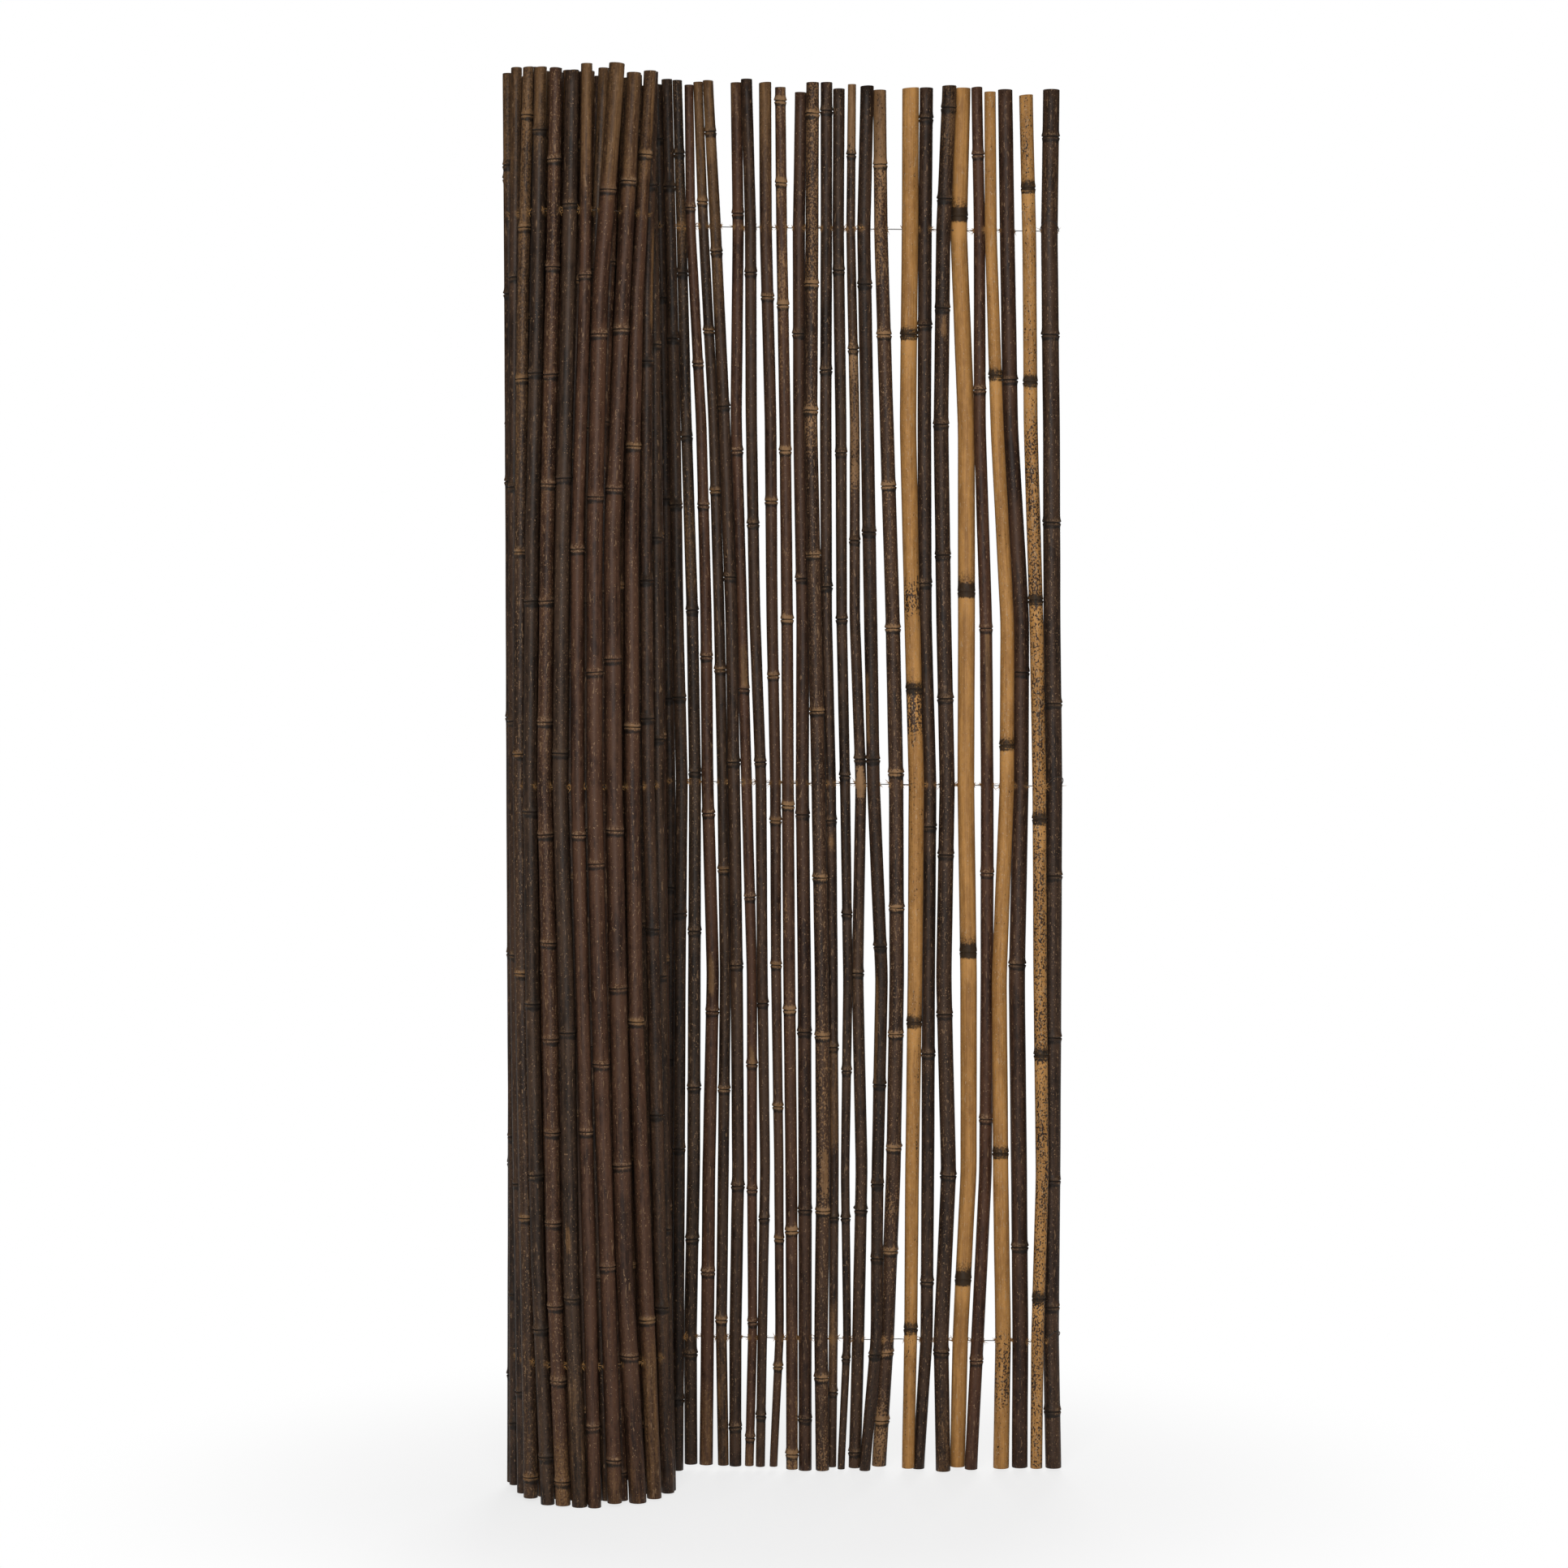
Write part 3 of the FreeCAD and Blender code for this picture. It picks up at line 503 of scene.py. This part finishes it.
# Linear colours of the skin's layers, from the stain down to the sawn bamboo.
SKIN_COLOURS = {
    "Stain": (0.0105, 0.006, 0.0035), "Worn": (0.046, 0.0265, 0.0155),
    "Red stain": (0.021, 0.008, 0.0042), "Red worn": (0.075, 0.033, 0.0175),
    "Bare": (0.175, 0.092, 0.037), "Bare dark": (0.07, 0.035, 0.0145),
    "Scar": (0.25, 0.15, 0.08), "Sawn": (0.34, 0.21, 0.1),
}
# Soot on the knuckles, and painted shade under the knuckle rings and on the flanks between canes.
SOOT_AND_SHADE = (0.009, 0.0065, 0.005)
PORES = (0.11, 0.06, 0.028)
# Painted shade deep in the bores and the drilled holes.
BORE_SHADE = (0.012, 0.008, 0.006)


def colour_group():
    """Stained bamboo skin: stain, worn stain, bare bamboo, scars, soot, painted shade and sawn
    ends.
    """
    group = bpy.data.node_groups.new("stained_skin", "ShaderNodeTree")
    for name, value in SKIN_COLOURS.items():
        socket = group.interface.new_socket(name, in_out="INPUT", socket_type="NodeSocketColor")
        socket.default_value = (*value, 1)
    for name, value in (("Flake from", 0.1), ("Flake to", 0.95)):
        socket = group.interface.new_socket(name, in_out="INPUT", socket_type="NodeSocketFloat")
        socket.default_value = value
    for name, kind in (("Color", "NodeSocketColor"), ("Roughness", "NodeSocketFloat"),
                       ("Height", "NodeSocketFloat")):
        group.interface.new_socket(name, in_out="OUTPUT", socket_type=kind)
    nodes = group.nodes
    links = group.links
    given = nodes.new("NodeGroupInput")
    result = nodes.new("NodeGroupOutput")

    def attribute(name):
        node = nodes.new("ShaderNodeAttribute")
        node.attribute_name = name
        return node

    def four_values(name):
        """The red, green, blue and alpha of a colour attribute."""
        colour = attribute(name)
        node = nodes.new("ShaderNodeSeparateColor")
        links.new(colour.outputs["Color"], node.inputs["Color"])
        return (*(node.outputs[k] for k in range(3)), colour.outputs["Alpha"])

    def texture(stretch, detail, roughness=0.55, distortion=0.0):
        mapping = nodes.new("ShaderNodeMapping")
        mapping.inputs["Scale"].default_value = stretch
        links.new(place.outputs["Vector"], mapping.inputs["Vector"])
        node = nodes.new("ShaderNodeTexNoise")
        node.inputs["Scale"].default_value = 1
        node.inputs["Detail"].default_value = detail
        node.inputs["Roughness"].default_value = roughness
        node.inputs["Distortion"].default_value = distortion
        links.new(mapping.outputs["Vector"], node.inputs["Vector"])
        return node.outputs["Fac"]

    def sum_of(*terms):
        """Adds up values times factors; a term with no socket is a plain number."""
        total = None
        for socket, factor in terms:
            node = nodes.new("ShaderNodeMath")
            node.operation = "MULTIPLY_ADD"
            if socket is None:
                node.inputs[0].default_value = factor
                node.inputs[1].default_value = 1
            else:
                links.new(socket, node.inputs[0])
                node.inputs[1].default_value = factor
            node.inputs[2].default_value = 0
            if total is not None:
                links.new(total, node.inputs[2])
            total = node.outputs[0]
        return total

    def product(a, b):
        node = nodes.new("ShaderNodeMath")
        node.operation = "MULTIPLY"
        links.new(a, node.inputs[0])
        links.new(b, node.inputs[1])
        return node.outputs[0]

    def ramp(value, low, high, top=1.0):
        """Smooth step from nothing at low to top at high."""
        node = nodes.new("ShaderNodeMapRange")
        node.interpolation_type = "SMOOTHSTEP"
        for socket, limit in (("From Min", low), ("From Max", high)):
            if isinstance(limit, float):
                node.inputs[socket].default_value = limit
            else:
                links.new(limit, node.inputs[socket])
        node.inputs["To Max"].default_value = top
        links.new(value, node.inputs["Value"])
        return node.outputs["Result"]

    def mix(amount, a, b):
        node = nodes.new("ShaderNodeMix")
        node.data_type = "RGBA"
        links.new(amount, node.inputs["Factor"])
        links.new(a, node.inputs[6])
        if isinstance(b, tuple):
            node.inputs[7].default_value = (*b, 1)
        else:
            links.new(b, node.inputs[7])
        return node.outputs[2]

    place = attribute("culm")
    gone, ruddy, scar, sawn = four_values("finish")
    soot_and_shade, speckle, tone, fresh = four_values("mark")

    grain = texture((750, 750, 9), 3)
    streak = texture((190, 190, 7), 4)
    patch = texture((75, 75, 14), 5, 0.65, 0.4)
    fleck = texture((430, 430, 150), 2)
    nick = texture((360, 360, 70), 1)
    pore = texture((1500, 1500, 700), 1)
    mottle = texture((400, 400, 360), 2, 0.6)
    blotch = texture((170, 170, 75), 3, 0.6)
    pock = texture((560, 560, 330), 1)
    dot = texture((430, 430, 330), 0)
    cloud = texture((14, 14, 6), 3)

    thin = ramp(sum_of((patch, 0.9), (streak, 0.7), (grain, 0.6), (cloud, 0.9), (blotch, 0.8),
                       (tone, 0.5), (fresh, 0.35)), 1.8, 2.4)
    dark = mix(ruddy, given.outputs["Stain"], given.outputs["Red stain"])
    worn = mix(ruddy, given.outputs["Worn"], given.outputs["Red worn"])
    skin = mix(thin, dark, worn)
    light = ramp(sum_of((streak, 0.6), (grain, 0.5), (patch, 0.6), (blotch, 0.4), (fresh, 0.45)),
                 0.8, 1.35)
    golden = mix(light, given.outputs["Bare dark"], given.outputs["Bare"])
    flaking = sum_of((gone, 1.5), (patch, 0.9), (streak, 0.5), (grain, 0.25),
                     (product(dot, speckle), 1.7), (speckle, -0.83), (None, -1.15))
    flaked = ramp(flaking, given.outputs["Flake from"], given.outputs["Flake to"])
    skin = mix(flaked, skin, golden)
    scratched = ramp(sum_of((nick, 1.0), (speckle, 0.06)), 0.69, 0.76, 0.5)
    skin = mix(scratched, skin, given.outputs["Scar"])
    pocked = ramp(sum_of((pock, 1.0), (speckle, 0.07)), 0.7, 0.75, 0.85)
    skin = mix(pocked, skin, given.outputs["Scar"])
    ash = product(ramp(sum_of((mottle, 0.9), (grain, 0.3)), 0.54, 0.72), scar)
    skin = mix(ash, skin, given.outputs["Scar"])
    # Soot and painted shade darken the skin.
    sooted_and_shaded = ramp(sum_of((soot_and_shade, 1.0), (mottle, 1.3), (patch, 0.4), (None, -0.87)), 0.1, 0.8, 0.93)
    skin = mix(sooted_and_shaded, skin, SOOT_AND_SHADE)
    open_pores = ramp(sum_of((pore, 1.0), (fleck, 0.4)), 0.55, 0.85)
    fibres = mix(open_pores, given.outputs["Sawn"], PORES)
    # Painted shade darkens the sawn fibres deep in the bores and drilled holes.
    fibres = mix(soot_and_shade, fibres, BORE_SHADE)
    links.new(mix(sawn, skin, fibres), result.inputs["Color"])
    rough = sum_of((streak, 0.2), (grain, 0.12), (flaked, 0.05), (sawn, 0.3), (scar, 0.15),
                   (None, 0.34))
    links.new(rough, result.inputs["Roughness"])
    links.new(sum_of((grain, 0.5), (streak, 0.6), (pore, 0.25), (nick, 0.4), (flaked, -0.3)),
              result.inputs["Height"])
    return group


stained_skin = colour_group()


def bamboo(name, **colours):
    """A bamboo material: the stained skin, with some of its colours changed, under satin oil."""
    material = bpy.data.materials.new(name)
    material.use_nodes = True
    tree = material.node_tree
    shader = tree.nodes["Principled BSDF"]
    skin = tree.nodes.new("ShaderNodeGroup")
    skin.node_tree = stained_skin
    for socket, value in colours.items():
        value = value if isinstance(value, float) else (*value, 1)
        skin.inputs[socket.replace("_", " ")].default_value = value
    bump = tree.nodes.new("ShaderNodeBump")
    bump.inputs["Strength"].default_value = 0.55
    bump.inputs["Distance"].default_value = 0.0004
    tree.links.new(skin.outputs["Color"], shader.inputs["Base Color"])
    tree.links.new(skin.outputs["Roughness"], shader.inputs["Roughness"])
    tree.links.new(skin.outputs["Height"], bump.inputs["Height"])
    tree.links.new(bump.outputs["Normal"], shader.inputs["Normal"])
    shader.inputs["Specular IOR Level"].default_value = 0.16
    return material


dark_bamboo = bamboo("dark_bamboo")
reddish_bamboo = bamboo("reddish_bamboo", Stain=(0.0145, 0.007, 0.004),
                        Worn=(0.058, 0.0295, 0.017))
mottled_bamboo = bamboo("mottled_bamboo", Worn=(0.055, 0.031, 0.0175), Bare=(0.27, 0.15, 0.068),
                        Bare_dark=(0.11, 0.055, 0.022), Flake_from=0.35, Flake_to=0.65)
golden_bamboo = bamboo("golden_bamboo", Bare=(0.47, 0.235, 0.07), Bare_dark=(0.24, 0.112, 0.032),
                       Scar=(0.4, 0.27, 0.15), Flake_from=0.4, Flake_to=0.62)
FINISHES = {"dark_bamboo": dark_bamboo, "reddish_bamboo": reddish_bamboo,
            "mottled_bamboo": mottled_bamboo, "golden_bamboo": golden_bamboo}
SLOTS = {part["node"]: part["material_slot"] for part in frame["record"]["subparts"]}
drilled = {}


def add_canes(name, node, look_of, seed, detail=SEEN_DETAIL):
    """One piece that stands for a CAD node: its cane or its few canes."""
    mesh = bmesh.new()
    drilled[node] = []
    for number, cane in enumerate(read_canes(node)):
        drilled[node] += add_culm(mesh, cane, look_of(number), seed + number, detail)
    for face in mesh.faces:
        face.smooth = True
    data = bpy.data.meshes.new(name)
    mesh.to_mesh(data)
    mesh.free()
    data.materials.append(FINISHES[SLOTS[node]])
    piece = bpy.data.objects.new(name, data)
    bpy.context.scene.collection.objects.link(piece)
    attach(piece, "root")
    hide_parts(node)


for row in PANEL_LOOKS:
    place = "%02d" % row[0]
    add_canes("panel_culm_" + place, "panel_cane_" + place, lambda number, row=row: row,
              100 + row[0])

# Canes at the front of the roll
# The same sawn and stained culms where the mat is still rolled up, on the same three wires. They
# lean a little across each other, because the roll is tighter at half height than at its ends.

ROLL_LOOKS = [
    (1, 0.4, 0.1, 0.3, "grey", ((0, 0.25), (2000, 0.2)), ()),
    (2, 0.4, 0.2, 0.3, "grey", ((0, 0.25), (1750, 0.15), (1850, 0.5), (2000, 0.6)), ()),
    (3, 0.4, 0.2, 0.3, "grey", ((0, 0.25), (1750, 0.15), (1850, 0.5), (2000, 0.6)), ()),
    (4, 0.45, 0.2, 0.8, "gold", ((0, 0.3), (1300, 0.2), (1500, 0.45), (2000, 0.6)), ()),
    (5, 0.35, 0.1, 0.3, "grey", ((0, 0.25), (1850, 0.15), (1930, 0.6), (2000, 0.8)), ()),
    (6, 0.5, 0.7, 0.8, "pale", ((0, 0.6), (80, 0.55), (110, 0.2), (2000, 0.3)), ()),
    (7, 0.35, 0.1, 0.3, "grey",
     ((0, 0.5), (190, 0.4), (230, 0.15), (2000, 0.15)),
     ((356, 390, -20, 20, 0.8),)),
    (8, 0.45, 0.6, 0.3, "pale", ((0, 0.4), (60, 0.2), (1750, 0.2), (1850, 0.6), (2000, 0.8)), ()),
    (9, 0.5, 0.7, 0.3, "pale", ((0, 0.5), (100, 0.25), (1800, 0.2), (1850, 0.6), (2000, 0.8)), ()),
    (10, 0.45, 0.5, 0.3, "pale",
     ((0, 0.5), (120, 0.2), (1750, 0.2), (1850, 0.5), (2000, 0.65)),
     ()),
    (11, 0.5, 0.6, 0.4, "gold",
     ((0, 0.65), (200, 0.55), (260, 0.25), (1750, 0.2), (1850, 0.5), (2000, 0.6)),
     ()),
    (12, 0.4, 0.3, 0.3, "grey", ((0, 0.3), (2000, 0.2)), ((1639, 1775, 60, 20, 0.9),)),
    (13, 0.4, 0.1, 0.3, "grey", ((0, 0.25), (2000, 0.2)), ()),
]
for row in ROLL_LOOKS:
    place = "%02d" % row[0]
    add_canes("roll_front_culm_" + place, "roll_front_cane_" + place,
              lambda number, row=row: row, 200 + row[0])

# Canes at the back and the right-hand side of the roll
# Dark stained culms where the mat goes round behind the roll's front, and turns inwards beside
# it. The wires hold them at the same three heights.


def usual_look(seed):
    """The finish of a cane out of sight: dark, with a little gold at its ends."""
    chance = random.Random(seed)
    ends = chance.uniform(0.3, 0.7)
    middle = chance.uniform(0.08, 0.3)
    foot = chance.uniform(0.2, 0.5)
    rows = ((0, foot), (chance.uniform(60, 200), middle), (chance.uniform(1650, 1850), middle),
            (2000, ends))
    knuckle = chance.choice(("grey", "grey", "pale", "gold"))
    return (0, chance.uniform(0.35, 0.5), chance.uniform(0, 0.6), chance.uniform(0.2, 0.7),
            knuckle, rows, ())


def add_groups(stem, seed, detail):
    """All pieces of a part of the mat whose canes share nodes."""
    for node in sorted(node for node in frame["nodes"] if node.startswith(stem)):
        add_canes(node.replace("canes", "culms"), node,
                  lambda number, seed=seed: usual_look(seed + number), seed, detail)
        seed += 10


add_groups("roll_back_canes", 300, SEEN_DETAIL)
add_groups("roll_side_canes", 400, SEEN_DETAIL)

# Canes of the second and third turns
# The rest of the mat, wound up inside the roll: the same culms, held by the same wires. Only
# their sawn tops and feet can be seen, so their knuckles are plainer.

HIDDEN_PROFILE = ((-8, 0), (-5, 0.3), (-3, 0.8), (-1.6, 0.7), (-0.8, 0), (0, 0.4), (1.2, 1.05),
                  (3.2, 0.7), (6, 0.25), (9, 0))
HIDDEN_DETAIL = {"sides": 16, "profile": HIDDEN_PROFILE, "stride": 0.06}

add_groups("second_turn_canes", 500, HIDDEN_DETAIL)
add_groups("third_turn_canes", 600, HIDDEN_DETAIL)

# Wires
# Three thin steel wires, gone dull and brown. They are threaded through the drilled holes of
# every cane, one near each end and one halfway, and looped back over the end canes.

wire = bpy.data.materials.new("wire")
wire.use_nodes = True
tree = wire.node_tree
shader = tree.nodes["Principled BSDF"]
shader.inputs["Metallic"].default_value = 0.25
coordinates = tree.nodes.new("ShaderNodeTexCoord")
patina = tree.nodes.new("ShaderNodeTexNoise")
patina.inputs["Scale"].default_value = 260
patina.inputs["Detail"].default_value = 4
tree.links.new(coordinates.outputs["Object"], patina.inputs["Vector"])
tones = tree.nodes.new("ShaderNodeValToRGB")
tones.color_ramp.elements[0].position = 0.38
tones.color_ramp.elements[0].color = (0.012, 0.008, 0.0055, 1)
tones.color_ramp.elements[1].position = 0.66
tones.color_ramp.elements[1].color = (0.055, 0.036, 0.022, 1)
tree.links.new(patina.outputs["Fac"], tones.inputs["Fac"])
tree.links.new(tones.outputs["Color"], shader.inputs["Base Color"])
dulled = tree.nodes.new("ShaderNodeMapRange")
dulled.inputs["To Min"].default_value = 0.35
dulled.inputs["To Max"].default_value = 0.7
tree.links.new(patina.outputs["Fac"], dulled.inputs["Value"])
tree.links.new(dulled.outputs["Result"], shader.inputs["Roughness"])
dents = tree.nodes.new("ShaderNodeBump")
dents.inputs["Strength"].default_value = 0.3
dents.inputs["Distance"].default_value = 0.0001
tree.links.new(patina.outputs["Fac"], dents.inputs["Height"])
tree.links.new(dents.outputs["Normal"], shader.inputs["Normal"])
for node in ("bottom_wire", "middle_wire", "top_wire"):
    mesh = frame["nodes"][node].data
    mesh.materials.clear()
    mesh.materials.append(wire)

# Splinters at the drilled holes
# The drill tears the tough skin of the bamboo, and a ragged ring of pale splinters and fibres
# stands out round each mouth. They are still rooted in the cane.

SPLINTERS_AT_A_MOUTH = (3, 5, 7, 9, 11)
SPLINTER_LENGTHS = (0.002, 0.003, 0.0045, 0.0075)


def add_splinter(mesh, layers, point, out, across, sideways, chance):
    """A four-sided sliver that stands out from the edge of a drilled hole's mouth."""
    culm, finish, mark = layers
    spin = chance.uniform(0, 2 * math.pi)
    aside = across * math.cos(spin) + Vector((0, 0, 1)) * math.sin(spin)
    foot = point + aside * chance.uniform(0.0012, 0.0024)
    lean = (out * chance.uniform(0.2, 0.8) + aside * chance.uniform(0.3, 1.1) + across * sideways
            + Vector((0, 0, chance.uniform(-0.5, 0.5)))).normalized()
    length = chance.choice(SPLINTER_LENGTHS) * chance.uniform(0.7, 1.2)
    sliver = bmesh.ops.create_cone(mesh, segments=4, radius1=chance.uniform(0.0004, 0.0008),
                                   radius2=0.0001, depth=length, cap_ends=True)["verts"]
    turn = Vector((0, 0, 1)).rotation_difference(lean).to_matrix()
    pale = chance.uniform(0.2, 0.8)
    for vert in sliver:
        vert.co = foot + turn @ (vert.co + Vector((0, 0, length * 0.42)))
        vert[culm] = vert.co
        vert[finish] = (1, 0.2, 0, pale)
        vert[mark] = (0, 0.2, 0.6, 0.5)


for level, name in enumerate(("bottom_splinters", "middle_splinters", "top_splinters")):
    chance = random.Random(40 + level)
    mesh = bmesh.new()
    layers = culm_layers(mesh)
    for node in sorted(drilled):
        if not node.startswith(("panel", "roll_front")):
            continue
        for point, out in drilled[node][2 * level:2 * level + 2]:
            across = Vector((-out.y, out.x, 0))
            if across.y > 0:
                across = -across
            in_roll = node.startswith("roll_front")
            sideways = chance.uniform(0.3, 1.2) if in_roll else chance.uniform(-0.2, 0.5)
            for _ in range(chance.choice(SPLINTERS_AT_A_MOUTH)):
                add_splinter(mesh, layers, point, out, across, sideways, chance)
    data = bpy.data.meshes.new(name)
    mesh.to_mesh(data)
    mesh.free()
    data.materials.append(golden_bamboo)
    splinters = bpy.data.objects.new(name, data)
    bpy.context.scene.collection.objects.link(splinters)
    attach(splinters, "root")

# Floor
# A plain pale floor under the mat's feet. It shows the mat's shadow, and fades to white away
# from it.

mesh = bmesh.new()
bmesh.ops.create_circle(mesh, segments=96, radius=9, cap_ends=True)
data = bpy.data.meshes.new("floor")
mesh.to_mesh(data)
mesh.free()
floor = bpy.data.objects.new("floor", data)
bpy.context.scene.collection.objects.link(floor)
pale = bpy.data.materials.new("pale_floor")
pale.use_nodes = True
tree = pale.node_tree
shader = tree.nodes["Principled BSDF"]
shader.inputs["Base Color"].default_value = (0.86, 0.86, 0.86, 1)
shader.inputs["Roughness"].default_value = 0.9
white = tree.nodes.new("ShaderNodeEmission")
rays = tree.nodes.new("ShaderNodeLightPath")
coordinates = tree.nodes.new("ShaderNodeTexCoord")
distance = tree.nodes.new("ShaderNodeVectorMath")
distance.operation = "LENGTH"
fade = tree.nodes.new("ShaderNodeMapRange")
fade.interpolation_type = "SMOOTHSTEP"
fade.inputs["From Min"].default_value = 0.35
fade.inputs["From Max"].default_value = 1.1
fade.inputs["To Min"].default_value = 0.75
tree.links.new(coordinates.outputs["Object"], distance.inputs[0])
tree.links.new(distance.outputs["Value"], fade.inputs["Value"])
seen = tree.nodes.new("ShaderNodeMath")
seen.operation = "MAXIMUM"
tree.links.new(rays.outputs["Is Camera Ray"], seen.inputs[0])
tree.links.new(rays.outputs["Is Glossy Ray"], seen.inputs[1])
amount = tree.nodes.new("ShaderNodeMath")
amount.operation = "MULTIPLY"
tree.links.new(fade.outputs["Result"], amount.inputs[0])
tree.links.new(seen.outputs[0], amount.inputs[1])
both = tree.nodes.new("ShaderNodeMixShader")
tree.links.new(amount.outputs[0], both.inputs["Fac"])
tree.links.new(shader.outputs["BSDF"], both.inputs[1])
tree.links.new(white.outputs["Emission"], both.inputs[2])
tree.links.new(both.outputs["Shader"], tree.nodes["Material Output"].inputs["Surface"])
data.materials.append(pale)

# Light
# White surroundings, a broad soft lamp in front, one like it behind, and a weaker one above.
# All three point at the mat's middle.

world = bpy.data.worlds.new("surroundings")
bpy.context.scene.world = world
world.use_nodes = True
tree = world.node_tree
soft = tree.nodes["Background"]
soft.inputs["Strength"].default_value = 0.1
backdrop = tree.nodes.new("ShaderNodeBackground")
rays = tree.nodes.new("ShaderNodeLightPath")
both = tree.nodes.new("ShaderNodeMixShader")
tree.links.new(rays.outputs["Is Camera Ray"], both.inputs["Fac"])
tree.links.new(soft.outputs["Background"], both.inputs[1])
tree.links.new(backdrop.outputs["Background"], both.inputs[2])
tree.links.new(both.outputs["Shader"], tree.nodes["World Output"].inputs["Surface"])
for node in (soft, backdrop):
    node.inputs["Color"].default_value = (1, 1, 1, 1)

# Each row: name, place, width, height and watts.
LAMPS = (("front_light", (-0.3, -4.2, 1.9), 1.8, 2.6, 145),
         ("upper_light", (0.3, 0.6, 4.4), 3, 3, 45),
         ("rear_light", (0.6, 4.2, 1.9), 1.8, 2.6, 110))
MIDDLE = Vector((0, 0, 1))
for name, place, across, tall, power in LAMPS:
    lamp_data = bpy.data.lights.new(name, "AREA")
    lamp_data.shape = "RECTANGLE"
    lamp_data.size = across
    lamp_data.size_y = tall
    lamp_data.energy = power
    lamp = bpy.data.objects.new(name, lamp_data)
    bpy.context.scene.collection.objects.link(lamp)
    lamp.location = place
    lamp.rotation_euler = (MIDDLE - Vector(place)).to_track_quat("-Z", "Y").to_euler()

# Camera
# Straight in front of the panel and level, a little above the mat's middle, with the picture
# shifted down to hold all of the mat.

IMAGE = 1932  # width and height of the picture, in its own pixels
FOCAL = 4811  # focal length in those pixels
HORIZON = 770  # row of the picture that is level with the camera
DISTANCE = 5.66  # from the camera to the panel
PANEL_LINE = 0.1105  # how far the panel stands behind the mat's middle
HEIGHT = 1.2254
SENSOR = 36
camera_data = bpy.data.cameras.new("camera")
camera = bpy.data.objects.new("camera", camera_data)
bpy.context.scene.collection.objects.link(camera)
camera.location = (-0.0034, PANEL_LINE - DISTANCE, HEIGHT)
camera.rotation_euler = (math.pi / 2, 0, 0)
camera_data.sensor_width = SENSOR
camera_data.lens = SENSOR * FOCAL / IMAGE
camera_data.shift_y = -(IMAGE / 2 - HORIZON) / IMAGE
bpy.context.scene.camera = camera
bpy.context.scene.view_settings.view_transform = "Standard"
